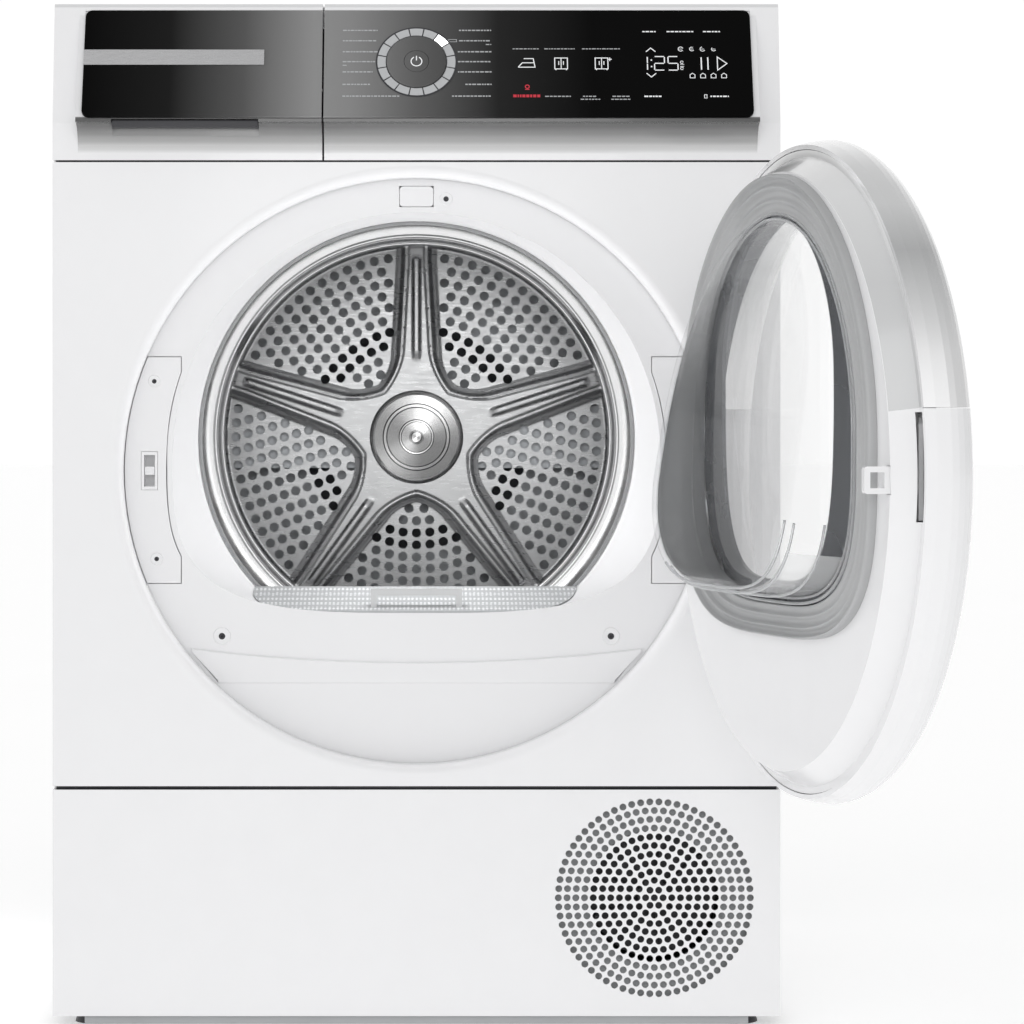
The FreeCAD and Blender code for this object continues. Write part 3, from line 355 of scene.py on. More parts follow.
def pearl_edge():
    """Pearl silver of the door's upper inner edge, with painted light: lighter towards the top."""
    m, tree, shader = material("pearl_edge", (0.7, 0.7, 0.71), 0.2, 0.2, Coat_Weight=0.5, Coat_Roughness=0.05)
    # Painted light: the edge pales towards the top.
    height = spread(tree, split_coords(tree).outputs["Z"], HINGE.z + 47 * MM, HINGE.z + 241 * MM)
    stops = [(0.0, (0.60, 0.605, 0.61)), (0.45, (0.66, 0.665, 0.67)), (0.8, (0.86, 0.865, 0.87))]
    stops += [(1.0, grey(0.90))]
    tree.links.new(ramp(tree, height, stops), shader.inputs["Base Color"])
    return m


def gleam():
    """Pale translucent sheet over the bowl's bottom wall: a painted highlight."""
    base = (0.86, 0.865, 0.87)
    m, tree, shader = material("gleam", base, 0.2, Alpha=0.5, Coat_Weight=0.5)
    vary(tree, shader, base, 0.03, 12.0, (0.16, 0.24))
    return m


MATERIALS = {
    "white_enamel": white_enamel(),
    "white_plastic": white_plastic(),
    "white_gloss_plastic": gloss_plastic("white_gloss_plastic", (0.86, 0.86, 0.87), (0.17, 0.19), 0.4),
    "silver_plastic": silver_plastic(),
    "grey_plastic": plain("grey_plastic", (0.42, 0.43, 0.44), (0.4, 0.55)),
    "dark_plastic": plain("dark_plastic", (0.035, 0.035, 0.04), (0.38, 0.5)),
    "fascia_black": fascia_black(),
    "light_segment": plain("light_segment", (0.52, 0.53, 0.54), (0.3, 0.4)),
    "brushed_trim": brushed("brushed_trim", (0.72, 0.72, 0.73), (0.22, 0.34), (1, 60, 60)),
    "drum_steel": brushed("drum_steel", (0.74, 0.74, 0.75), (0.24, 0.32), (6, 1, 6), depth=0.02),
    "hub_steel": brushed("hub_steel", (0.80, 0.80, 0.81), (0.12, 0.2), (1, 30, 1)),
    "zinc_sheet": plain("zinc_sheet", (0.56, 0.58, 0.60), (0.35, 0.5), 0.9, 60.0),
    "dark_steel": plain("dark_steel", (0.05, 0.05, 0.055), (0.4, 0.55), 0.3),
    "gasket_rubber": plain("gasket_rubber", (0.40, 0.41, 0.42), (0.42, 0.52), 0.0, 1200.0),
    "belt_rubber": plain("belt_rubber", (0.03, 0.03, 0.03), (0.6, 0.75)),
    "felt": plain("felt", (0.62, 0.60, 0.56), (0.85, 0.95), 0.0, 2500.0, Sheen_Weight=0.4),
    "clear_glass": clear_glass(),
    "window_frame_grey": plain("window_frame_grey", (0.12, 0.125, 0.135), (0.22, 0.32), 0.5, 500.0),
    "filter_plastic": dotted_filter(),
    "board_green": plain("board_green", (0.03, 0.18, 0.09), (0.3, 0.45)),
    "fin_aluminium": brushed("fin_aluminium", (0.72, 0.73, 0.74), (0.3, 0.4), (1, 1, 20)),
    "gleam": gleam(),
    "reflection_veil": reflection_veil(),
    "lip_glass": lip_glass(),
    "pearl_edge": pearl_edge(),
    "seal_rubber": plain("seal_rubber", (0.44, 0.445, 0.45), (0.34, 0.44), 0.0, 1400.0),
    "shadow_line": plain("shadow_line", (0.30, 0.305, 0.31), (0.5, 0.6)),
    "lit_rim_steel": lit_rim_steel(),
    "filter_smooth": plain("filter_smooth", (0.60, 0.605, 0.61), (0.35, 0.45)),
    "pressed_steel": pressed_steel(),
    "turned_steel": turned_steel(),
    # The printed marks glow faintly: painted light. The lit guide is a real lamp.
    "printed_white": glowing("printed_white", (0.80, 0.81, 0.82), 0.25),
    "lit_segment": glowing("lit_segment", (1.0, 1.0, 1.0), 1.6),
    "red_print": glowing("red_print", (0.55, 0.03, 0.05), 0.15),
    "printed_grey": glowing("printed_grey", (0.42, 0.43, 0.44), 0.12),
}
# Nodes whose look differs from the rest of their slot.
SPECIAL = {
    "control_panel": panel_gloss(),
    "drawer_front": panel_gloss(),
    "lint_filter_pocket": MATERIALS["filter_smooth"],
}

for entry in frame["record"]["subparts"]:
    node = NODES[entry["node"]]
    node.data.materials.clear()
    node.data.materials.append(SPECIAL.get(entry["node"], MATERIALS[entry["material_slot"]]))


# ------------------------------------------------------------------ mesh helpers
def piece(name, bm, body, slot, replaces=(), mat=None):
    """Finish a mesh as a visual piece that rides on a body and may replace CAD nodes."""
    mesh = bpy.data.meshes.new(name)
    bm.normal_update()
    bm.to_mesh(mesh)
    bm.free()
    mesh.polygons.foreach_set("use_smooth", [True] * len(mesh.polygons))
    obj = bpy.data.objects.new(name, mesh)
    bpy.context.scene.collection.objects.link(obj)
    mesh.materials.append(mat or MATERIALS[slot])
    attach(obj, body)
    if replaces:
        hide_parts(*replaces)
    return obj


def sharpen(obj, angle=35):
    """Keep hard edges hard on a smooth-shaded mesh."""
    bm = bmesh.new()
    bm.from_mesh(obj.data)
    limit = math.radians(angle)
    for edge in bm.edges:
        if len(edge.link_faces) == 2 and edge.calc_face_angle(0) > limit:
            edge.smooth = False
    bm.to_mesh(obj.data)
    bm.free()
    return obj


def bridge(bm, rings, full=True):
    """Quads between neighbouring closed rings; when full, the last ring joins the first."""
    following = rings[1:] + rings[:1] if full else rings[1:]
    for a, b in zip(rings, following):
        for j in range(len(a)):
            k = (j + 1) % len(a)
            bm.faces.new((a[j], a[k], b[k], b[j]))


def sheet(bm, rows):
    """Quads between neighbouring open rows of vertices."""
    for a, b in zip(rows, rows[1:]):
        for i in range(len(a) - 1):
            bm.faces.new((a[i], a[i + 1], b[i + 1], b[i]))


def lathe(bm, profile, centre, steps=192, start=0.0, end=360.0):
    """Turn a closed (radius, y) profile about an axis along Y; angles run from +X towards +Z."""
    full = abs(end - start) >= 360
    count = steps if full else steps + 1
    rings = []
    for i in range(count):
        a = math.radians(start + (end - start) * i / steps)
        c, s = math.cos(a), math.sin(a)
        rings.append([bm.verts.new((centre.x + r * c, y, centre.z + r * s)) for r, y in profile])
    bridge(bm, rings, full)
    if not full:
        bm.faces.new(rings[0][::-1])
        bm.faces.new(rings[-1])
    bmesh.ops.recalc_face_normals(bm, faces=bm.faces[:])


def sweep(bm, outline, section):
    """Sweep a closed (out, y) section along a closed (x, z) outline; out is the outline's outward normal."""
    n = len(outline)
    rings = []
    for i in range(n):
        before, after = Vector(outline[i - 1]), Vector(outline[(i + 1) % n])
        tangent = (after - before).normalized()
        normal = Vector((tangent.y, -tangent.x))
        x, z = outline[i]
        rings.append([bm.verts.new((x + normal.x * o, y, z + normal.y * o)) for o, y in section])
    bridge(bm, rings)
    bmesh.ops.recalc_face_normals(bm, faces=bm.faces[:])


SQUARENESS = 3.45


def d_outline(half, top, bottom, count):
    """Half-round top over a squarish lower half, like the loading opening; anticlockwise from the right."""
    centre = top - half
    low = centre - bottom
    points = []
    for i in range(count):
        a = 2 * math.pi * i / count
        c, s = math.cos(a), math.sin(a)
        if s >= 0:
            points.append((half * c, centre + half * s))
        else:
            power = 2 / SQUARENESS
            points.append((half * math.copysign(abs(c) ** power, c), centre - low * abs(s) ** power))
    return points


def even(points, count):
    """The same closed outline with evenly spaced points."""
    loop = np.array(points + points[:1])
    step = np.linalg.norm(np.diff(loop, axis=0), axis=1)
    along = np.concatenate([[0], np.cumsum(step)])
    where = np.linspace(0, along[-1], count, endpoint=False)
    return [(float(np.interp(w, along, loop[:, 0])), float(np.interp(w, along, loop[:, 1]))) for w in where]


def block(bm, lo, hi, bevel=0.0):
    """Box between two corners with rounded edges."""
    made = bmesh.ops.create_cube(bm, size=1.0)["verts"]
    lo, hi = Vector(lo), Vector(hi)
    for v in made:
        v.co = Vector(((v.co[k] + 0.5) * (hi[k] - lo[k]) + lo[k]) for k in range(3))
    if bevel:
        edges = {e for v in made for e in v.link_edges}
        bmesh.ops.bevel(bm, geom=list(edges), offset=bevel, segments=3, affect="EDGES", profile=0.5)


def open_door(obj):
    """A door piece is drawn closed and swung to its stored place."""
    turn = Matrix.Translation(HINGE) @ Matrix.Rotation(DOOR_OPEN, 4, "Z") @ Matrix.Translation(-HINGE)
    obj.data.transform(turn)
    return obj


# ------------------------------------------------------------------ stage, light and camera
FLOOR_HALF = 40.0
CAMERA_AWAY = 3.0
CAMERA_HEIGHT = 0.4955
CAMERA_LENS = 128.4
CAMERA_SHIFT_X = 0.0933
CAMERA_SHIFT_Y = -0.0869


def make_stage():
    """Plain pale floor."""
    bm = bmesh.new()
    corners = ((-1, -1), (1, -1), (1, 1), (-1, 1))
    bm.faces.new([bm.verts.new((x * FLOOR_HALF, y * FLOOR_HALF, 0)) for x, y in corners])
    mesh = bpy.data.meshes.new("floor")
    bm.to_mesh(mesh)
    bm.free()
    floor = bpy.data.objects.new("floor", mesh)
    bpy.context.scene.collection.objects.link(floor)
    base = grey(0.90)
    m, tree, shader = material("floor", base, 0.7, Emission_Strength=0.40)
    shader.inputs["Emission Color"].default_value = (1, 1, 1, 1)
    vary(tree, shader, base, 0.008, 2.0)
    mesh.materials.append(m)


def area_light(name, place, target, size, power):
    """Rectangular lamp at a place, turned towards its target."""
    light = bpy.data.lights.new(name, "AREA")
    light.shape = "RECTANGLE"
    light.size, light.size_y = size
    light.energy = power
    obj = bpy.data.objects.new(name, light)
    obj.location = place
    obj.rotation_euler = (Vector(target) - Vector(place)).to_track_quat("-Z", "Y").to_euler()
    bpy.context.scene.collection.objects.link(obj)


def make_world():
    """White studio: bright walls in front and behind, dimmer ones at the sides, above and below."""
    world = bpy.data.worlds.new("studio")
    world.use_nodes = True
    bpy.context.scene.world = world
    tree = world.node_tree
    split = add(tree, "ShaderNodeSeparateXYZ")
    tree.links.new(add(tree, "ShaderNodeTexCoord").outputs["Generated"], split.inputs["Vector"])
    square = compute(tree, "MULTIPLY", split.outputs["Y"], split.outputs["Y"])
    ends = ramp(tree, square, [(0.0, grey(0.0)), (0.35, grey(0.25)), (0.75, grey(0.88)), (1.0, grey(1.0))])
    across = spread(tree, split.outputs["X"], -1.0, 1.0)
    sides = ramp(tree, across, [(0.0, grey(0.82)), (0.2, grey(0.64)), (0.45, grey(0.38)), (1.0, grey(0.42))])
    walls = add(tree, "ShaderNodeMix", data_type="RGBA")
    tree.links.new(ends, walls.inputs["Factor"])
    tree.links.new(sides, walls.inputs["A"])
    walls.inputs["B"].default_value = (1, 1, 1, 1)
    height = spread(tree, split.outputs["Z"], -1.0, 1.0)
    lift = ramp(tree, height, [(0.0, grey(0.35)), (0.40, grey(0.85)), (0.48, grey(1.0)), (1.0, grey(1.0))])
    both = add(tree, "ShaderNodeMix", data_type="RGBA", blend_type="MULTIPLY")
    both.inputs["Factor"].default_value = 1.0
    tree.links.new(walls.outputs["Result"], both.inputs["A"])
    tree.links.new(lift, both.inputs["B"])
    tree.links.new(both.outputs["Result"], tree.nodes["Background"].inputs["Color"])
    tree.nodes["Background"].inputs["Strength"].default_value = 1.02


def make_camera():
    """Level long-lens camera in front of the cabinet."""
    data = bpy.data.cameras.new("camera")
    data.lens = CAMERA_LENS
    data.sensor_width = 36
    data.shift_x = CAMERA_SHIFT_X
    data.shift_y = CAMERA_SHIFT_Y
    camera = bpy.data.objects.new("camera", data)
    camera.location = (0, FRONT_Y - CAMERA_AWAY, CAMERA_HEIGHT)
    camera.rotation_euler = (math.pi / 2, 0, 0)
    bpy.context.scene.collection.objects.link(camera)
    bpy.context.scene.camera = camera


def make_drum_lamp():
    """Soft lamp in the loading opening; neither the camera, reflections nor rays through glass show it."""
    light = bpy.data.lights.new("drum_lamp", "POINT")
    light.energy = 0.9
    light.shadow_soft_size = 0.06
    obj = bpy.data.objects.new("drum_lamp", light)
    obj.location = (0, FRONT_Y + 55 * MM, DRUM_AXIS.z)
    obj.visible_camera = False
    obj.visible_glossy = False
    obj.visible_transmission = False
    bpy.context.scene.collection.objects.link(obj)


make_stage()
make_world()
make_camera()
area_light("key", (-1.6, -3.0, 2.3), (0, 0, 0.5), (1.6, 1.6), 4)
area_light("fill", (1.9, -2.6, 1.4), (0.1, 0, 0.5), (1.2, 1.8), 1.5)
area_light("inside", (0, -2.6, 0.9), (0, 0.2, 0.48), (0.6, 0.6), 3)
make_drum_lamp()
bpy.context.scene.view_settings.view_transform = "Standard"


# ------------------------------------------------------------------ drum back
ARMS = 5
ARM_ANGLE = 2 * math.pi / ARMS
ARM_HALF = 7.5 * MM
ARM_FLARE = 0.055
FLARE_END = 170 * MM
STAR_R = 183 * MM
BAND_R = 50 * MM
FIELD_CORNER = 26 * MM
BACK_EDGE = 212 * MM
HOLE_R = 4.5 * MM
HOLE_PITCH = 13.4 * MM
ROW_PITCH = HOLE_PITCH * 0.87
HOLE_CLEAR = 13.5 * MM


def smooth_step(x, lo, hi):
    """0 below lo, 1 above hi, with a smooth passage between."""
    t = np.clip((x - lo) / (hi - lo), 0, 1)
    return t * t * (3 - 2 * t)


def arm_frame(x, z):
    """Radius, angle from the nearest arm, and the offsets across and along that arm."""
    r = np.hypot(x, z)
    a = np.abs((np.arctan2(x, z) + ARM_ANGLE / 2) % ARM_ANGLE - ARM_ANGLE / 2)
    return r, a, r * np.sin(a), r * np.cos(a)


def sector_distance(x, z):
    """Signed distance into the field between two arms (positive inside); its hub corner is rounded."""
    r, a, side, along = arm_frame(x, z)
    from_arm = side - ARM_HALF - ARM_FLARE * np.clip(FLARE_END - along, 0, 1)
    from_hub = r * np.cos(a - ARM_ANGLE / 2) - BAND_R
    stack = np.stack([from_arm, from_hub])
    corner = FIELD_CORNER - np.sqrt(((FIELD_CORNER - np.minimum(stack, FIELD_CORNER)) ** 2).sum(0))
    return np.where(stack.min(0) > FIELD_CORNER, stack.min(0), corner)


def back_height(x, z):
    """Height of the pressed drum back towards the front, in metres."""
    r, _, side, along = arm_frame(x, z)
    inside = sector_distance(x, z)
    raised = 5.0 * MM * (1 - smooth_step(inside, 1.0 * MM, 10.5 * MM))
    groove = -1.1 * MM * np.exp(-((inside - 1.0 * MM) / (1.2 * MM)) ** 2)
    lip = 0.9 * MM * np.exp(-((inside - 9.5 * MM) / (1.4 * MM)) ** 2)
    ridge_on = smooth_step(along, 72 * MM, 84 * MM) * (1 - smooth_step(along, 170 * MM, 175 * MM))
    ridge = 2.2 * MM * ridge_on * (1 - smooth_step(side, 1.8 * MM, 4.6 * MM))
    rim = smooth_step(r, STAR_R - 1 * MM, STAR_R + 2 * MM)
    step = 4.6 * MM - 3.0 * MM * smooth_step(r, STAR_R + 5 * MM, STAR_R + 9 * MM)
    step = step + 1.4 * MM * smooth_step(r, STAR_R + 10 * MM, STAR_R + 26 * MM)
    return (raised + groove + lip + ridge) * (1 - rim) + step * rim


def hole_centres():
    """Rings of holes, staggered, kept to the fields and clear of the pressed bands."""
    centres = []
    for j in range(int((STAR_R - BAND_R) / ROW_PITCH)):
        r = STAR_R - 9 * MM - j * ROW_PITCH
        count = int(round(2 * math.pi * r / HOLE_PITCH / ARMS)) * ARMS
        for k in range(count):
            a = 2 * math.pi * (k + 0.5 * (j % 2)) / count
            x, z = r * math.sin(a), r * math.cos(a)
            if sector_distance(np.array([x]), np.array([z]))[0] > HOLE_CLEAR:
                centres.append((x, z))
    return centres


def make_drum_back():
    """Pressed steel disc: a fine grid raised by a height formula, then pierced by drawn holes."""
    cell = 1.0 * MM
    side = np.arange(-BACK_EDGE, BACK_EDGE + cell / 2, cell)
    x, z = np.meshgrid(side, side, indexing="ij")
    keep = (np.hypot(x, z) < BACK_EDGE) & (np.hypot(x, z) > 13 * MM)
    hole_x, hole_z = np.full(x.shape, np.nan), np.full(x.shape, np.nan)
    for cx, cz in hole_centres():
        i0, j0 = int((cx + BACK_EDGE) / cell), int((cz + BACK_EDGE) / cell)
        near = (slice(i0 - 8, i0 + 9), slice(j0 - 8, j0 + 9))
        d = np.hypot(x[near] - cx, z[near] - cz)
        keep[near] &= d > HOLE_R - 0.3 * cell
        hole_x[near] = np.where(d < HOLE_R + 1.8 * cell, cx, hole_x[near])
        hole_z[near] = np.where(d < HOLE_R + 1.8 * cell, cz, hole_z[near])
    corners = [keep[:-1, :-1], keep[1:, :-1], keep[1:, 1:], keep[:-1, 1:]]
    whole = np.logical_and.reduce(corners)
    border = np.zeros(x.shape, bool)
    for rows, columns in itertools.product((slice(None, -1), slice(1, None)), repeat=2):
        border[rows, columns] |= ~whole
    snap = border & keep & ~np.isnan(hole_x)
    dx, dz = x - hole_x, z - hole_z
    scale = HOLE_R / np.maximum(np.hypot(dx, dz), 1e-9)
    fx, fz = np.where(snap, hole_x + dx * scale, x), np.where(snap, hole_z + dz * scale, z)
    y = DRUM_BACK_Y - 0.3 * MM - back_height(fx, fz)
    index = np.arange(x.size).reshape(x.shape)
    quads = np.stack([index[:-1, :-1], index[1:, :-1], index[1:, 1:], index[:-1, 1:]], -1)[whole]
    verts = np.stack([fx.ravel(), y.ravel(), fz.ravel() + DRUM_AXIS.z], -1)
    used = np.unique(quads)
    renumber = np.zeros(len(verts), int)
    renumber[used] = np.arange(len(used))
    mesh = bpy.data.meshes.new("pressing")
    mesh.from_pydata(verts[used].tolist(), [], renumber[quads].tolist())
    bm = bmesh.new()
    bm.from_mesh(mesh)
    bpy.data.meshes.remove(mesh)
    rims = []
    for e in bm.edges:
        reach = max(math.hypot(v.co.x, v.co.z - DRUM_AXIS.z) for v in e.verts)
        if e.is_boundary and reach < BACK_EDGE - 4 * MM:
            rims.append(e)
    for v in bmesh.ops.extrude_edge_only(bm, edges=rims)["geom"]:
        if isinstance(v, bmesh.types.BMVert):
            v.co.y += 1.3 * MM
    obj = piece("drum_back", bm, "drum", "drum_steel", ("drum_rear_wall",), mat=MATERIALS["pressed_steel"])
    sharpen(obj, 50)


def make_hub():
    """Turned steel cap in the middle of the drum back."""
    front = [(0, -15.5), (2.2, -15.5), (2.4, -14.2), (4.6, -14.2), (5.4, -15.2), (6.4, -15.0), (6.9, -13.0)]
    front += [(14.2, -12.2), (15.0, -13.0), (16.2, -13.0), (17.0, -11.2), (28.0, -9.6), (29.2, -10.6)]
    front += [(31.4, -10.4), (32.6, -8.6), (40.5, -7.6), (42.0, -8.4), (43.6, -8.0), (45.0, -6.2)]
    front += [(45.0, -5.0), (0, -5.0)]
    bm = bmesh.new()
    lathe(bm, [(max(r, 0.02) * MM, DRUM_BACK_Y + d * MM) for r, d in front], DRUM_AXIS, 128)
    sharpen(piece("drum_hub_cap", bm, "drum", "hub_steel", mat=MATERIALS["turned_steel"]), 28)


def make_back_rim():
    """Turned rim round the pierced fields: bead, step and a wide flange."""
    front = [(184.0, 4.2), (184.6, 6.0), (186.2, 6.8), (188.0, 6.6), (189.4, 5.4), (190.6, 3.9)]
    front += [(193.2, 3.6), (194.4, 4.2), (196.0, 5.0), (204.0, 5.4), (213.0, 5.0), (242.0, 2.6)]
    front += [(281.0, 1.6), (281.0, 0.3)]
    front += [(212.5, 0.3), (210.0, 3.4), (184.0, 3.4)]
    bm = bmesh.new()
    lathe(bm, [(r * MM, DRUM_BACK_Y - d * MM) for r, d in front], DRUM_AXIS, 200)
    # The rim's pale steel is painted light.
    sharpen(piece("drum_back_rim", bm, "drum", "drum_steel", mat=MATERIALS["lit_rim_steel"]), 50)


make_drum_back()
make_back_rim()
make_hub()


# ------------------------------------------------------------------ control panel graphics
GRAPHIC_LIFT = 0.15 * MM
KNOB_W = (KNOB.z - glass_lo.z) / FACE_UP.z / MM


def face_point(u, w, lift=GRAPHIC_LIFT):
    """Point on the glass: u across from the middle, w up the tilt from the glass's lower edge, both in mm."""
    base = KNOB - FACE_UP * (KNOB_W * MM)
    return base + Vector((u * MM, 0, 0)) + FACE_UP * (w * MM) + FACE_NORMAL * lift


def strip(bm, points, width, closed=False):
    """Flat printed line of the given width in mm along (u, w) points."""
    pts = [Vector(p) for p in points]
    n = len(pts)
    left, right = [], []
    for i, p in enumerate(pts):
        a = pts[(i - 1) % n] if closed or i else p
        b = pts[(i + 1) % n] if closed or i < n - 1 else p
        before = (p - a).normalized() if (p - a).length else (b - p).normalized()
        after = (b - p).normalized() if (b - p).length else before
        n1, n2 = Vector((-before.y, before.x)), Vector((-after.y, after.x))
        mitre = (n1 + n2).normalized()
        reach = width / 2 / max(0.4, mitre.dot(n1))
        left.append(bm.verts.new(face_point(*(p + mitre * reach))))
        right.append(bm.verts.new(face_point(*(p - mitre * reach))))
    for i in range(n if closed else n - 1):
        j = (i + 1) % n
        bm.faces.new((left[i], right[i], right[j], left[j]))


def arc(cx, cy, r, start, end, steps):
    """Points along part of a circle, between two angles in degrees."""
    turns = [math.radians(start + (end - start) * i / steps) for i in range(steps + 1)]
    return [(cx + r * math.cos(a), cy + r * math.sin(a)) for a in turns]


def bar(bm, u0, u1, w, height):
    """Level printed bar."""
    strip(bm, [(u0, w), (u1, w)], height)


def dashes(bm, u0, u1, w, height, seed):
    """Row of short dashes that stands for a line of small print."""
    rng = np.random.default_rng(seed)
    u = u0
    while u < u1 - 0.8:
        length = min(float(rng.uniform(1.2, 3.4)), u1 - u)
        bar(bm, u, u + length, w, height)
        u += length + 0.7


SEGMENTS = {"1": "bc", "2": "abged", "5": "afgcd"}
DIGIT_HIGH = 13.0
DIGIT_LINE = 0.9


def digit(bm, char, u, w, wide):
    """Seven-segment digit, with a small gap at the end of every segment."""
    high, middle, gap = DIGIT_HIGH, DIGIT_HIGH / 2, 0.35
    ends = {"a": (0, high, wide, high), "b": (wide, high, wide, middle), "c": (wide, middle, wide, 0),
            "d": (0, 0, wide, 0), "e": (0, 0, 0, middle), "f": (0, middle, 0, high),
            "g": (0, middle, wide, middle)}
    for name in SEGMENTS[char]:
        x0, y0, x1, y1 = ends[name]
        dx, dy = (gap if x1 != x0 else 0), (gap if y1 != y0 else 0)
        sign = 1 if y1 > y0 or x1 > x0 else -1
        strip(bm, [(u + x0 + dx, w + y0 + dy * sign), (u + x1 - dx, w + y1 - dy * sign)], DIGIT_LINE)


def programme_labels(bm):
    """Rows of labels on both sides of the knob: height, end of the left row, start of the right row."""
    rows = [(83.2, -32, 35), (73.2, -33, 35), (62.6, -29, 34), (53.1, -34, 34), (43.3, -36, 34)]
    rows += [(31.4, -38, 40), (20.2, -14, 29)]
    left, right = -60.5, 61.5
    for i, (w, left_end, right_start) in enumerate(rows):
        dashes(bm, left, left_end, w, 1.2, 10 + i)
        dashes(bm, right_start, right, w, 1.2, 30 + i)
    dashes(bm, 57, right, 69.6, 0.9, 50)
    dashes(bm, left, -57, 49.6, 0.9, 51)
    strip(bm, [(26.5, 72.2), (26.5, 74.4), (33.0, 74.4), (33.0, 72.2)], 0.5, True)


def iron_icon(bm, u, w):
    """Iron in outline."""
    strip(bm, [(u - 7.2, w - 3.6), (u + 6.6, w - 3.6), (u + 5.2, w + 4.6), (u - 2.6, w + 4.6)], 0.8)
    strip(bm, [(u - 7.2, w - 3.6), (u - 3.8, w + 0.6), (u + 5.8, w + 0.6)], 0.8)


def wardrobe_icon(bm, u, w, plus=False):
    """Two-door cupboard in outline, with a plus sign if wanted."""
    strip(bm, [(u - 5.2, w - 4.8), (u - 5.2, w + 5.6), (u + 5.2, w + 5.6), (u + 5.2, w - 4.8)], 0.8, True)
    strip(bm, [(u, w - 4.8), (u, w + 5.6)], 0.7)
    for side in (-1, 1):
        strip(bm, [(u + side * 1.9, w - 1.0), (u + side * 1.9, w + 2.6)], 0.7)
        strip(bm, [(u + side * 4.3, w - 4.8), (u + side * 4.3, w - 6.0)], 0.9)
    if plus:
        strip(bm, [(u + 5.2, w + 4.4), (u + 8.4, w + 4.4)], 0.8)
        strip(bm, [(u + 6.8, w + 2.8), (u + 6.8, w + 6.0)], 0.8)


def display(bm):
    """Remaining time between two arrows, the pause and start sign, and rows of small signs and dashes."""
    strip(bm, [(188.5, 62.6), (192.4, 66.2), (196.3, 62.6)], 0.8)
    strip(bm, [(188.5, 42.0), (192.4, 38.4), (196.3, 42.0)], 0.8)
    digit(bm, "1", 188.0, 45.0, 1.4)
    for w in (48.4, 54.6):
        bar(bm, 192.1, 193.3, w, 1.2)
    digit(bm, "2", 195.2, 45.0, 8.2)
    digit(bm, "5", 206.4, 45.0, 8.0)
    for k, w in enumerate((52.6, 46.6)):
        strip(bm, arc(217.6, w, 1.2, 0, 330, 10), 0.5)
        bar(bm, 216.2, 219.4, w - 2.0 + 4 * k, 0.5)
    for u in (233.6, 239.0):
        strip(bm, [(u, 45.4), (u, 57.2)], 1.0)
    strip(bm, [(246.8, 45.0), (246.8, 57.6), (254.6, 51.3)], 0.8, True)
    for k, u in enumerate((217.0, 226.2, 235.0, 244.2)):
        strip(bm, arc(u, 65.2, 2.0 - 0.2 * (k % 2), 20 + 40 * k, 330, 14), 0.6)
        bar(bm, u - 1.2, u + 1.2, 65.2, 0.5)
    for k, u in enumerate((226.0, 234.6, 243.2, 251.8)):
        strip(bm, [(u - 2.0, 37.6), (u - 2.0, 40.6), (u, 42.0), (u + 2.0, 40.6), (u + 2.0, 37.6)], 0.6, True)
    for u0, u1, seed in ((186, 197, 61), (206, 228, 62), (236, 250, 63)):
        dashes(bm, u0, u1, 82.0, 1.1, seed)
    dashes(bm, 186, 200, 20.0, 1.3, 64)
    dashes(bm, 240, 255, 20.0, 1.3, 65)
    strip(bm, [(235.2, 18.4), (235.2, 21.6), (237.2, 21.6), (237.2, 18.4)], 0.5, True)


def make_graphics():
    """Everything printed on the glass: grey labels, white signs and the red mark."""
    bm = bmesh.new()
    programme_labels(bm)
    for u0, u1, seed in ((79, 101, 71), (105, 130, 72), (136, 168, 73)):
        dashes(bm, u0, u1, 65.4, 0.9, seed)
    for u0, u1, seed in ((105, 127, 74), (136, 148, 75), (160, 174, 76)):
        dashes(bm, u0, u1, 20.0, 1.0, seed)
    dashes(bm, 134, 150, 17.2, 0.9, 77)
    dashes(bm, 159, 176, 17.2, 0.9, 78)
    piece("panel_labels", bm, "cabinet", "light_segment", mat=MATERIALS["printed_grey"])
    bm = bmesh.new()
    iron_icon(bm, 90.6, 51.4)
    wardrobe_icon(bm, 118.6, 51.0)
    wardrobe_icon(bm, 151.8, 51.0, plus=True)
    display(bm)
    piece("panel_print", bm, "cabinet", "light_segment", mat=MATERIALS["printed_white"])
    bm = bmesh.new()
    dashes(bm, 79, 101, 20.4, 2.6, 80)
    strip(bm, arc(90.6, 29.2, 1.6, 0, 360, 18), 0.9)
    bar(bm, 88.8, 92.4, 26.6, 0.8)
    piece("panel_red_mark", bm, "cabinet", "light_segment", mat=MATERIALS["red_print"])


def make_power_mark():
    """Power sign on the key in the middle of the knob, which stands 1.5 mm proud of the glass."""
    bm = bmesh.new()
    strip(bm, arc(0, KNOB_W - 0.2, 4.4, 118, 422, 30), 0.9)
    strip(bm, [(0, KNOB_W + 0.6), (0, KNOB_W + 5.0)], 0.9)
    bmesh.ops.translate(bm, verts=bm.verts[:], vec=FACE_NORMAL * (1.5 * MM))
    piece("power_mark", bm, "power_key", "light_segment", mat=MATERIALS["printed_white"])


LIGHT_GUIDES = 16
LIT_GUIDE = 14


def ring_patch(bm, inner, outer, start, end, steps, lift):
    """Flat part of a ring round the knob, between two radii in mm and two angles in degrees."""
    low = [bm.verts.new(face_point(u, w, lift)) for u, w in arc(0, KNOB_W, inner, start, end, steps)]
    high = [bm.verts.new(face_point(u, w, lift)) for u, w in arc(0, KNOB_W, outer, start, end, steps)]
    for i in range(steps):
        bm.faces.new((low[i], high[i], high[i + 1], low[i + 1]))


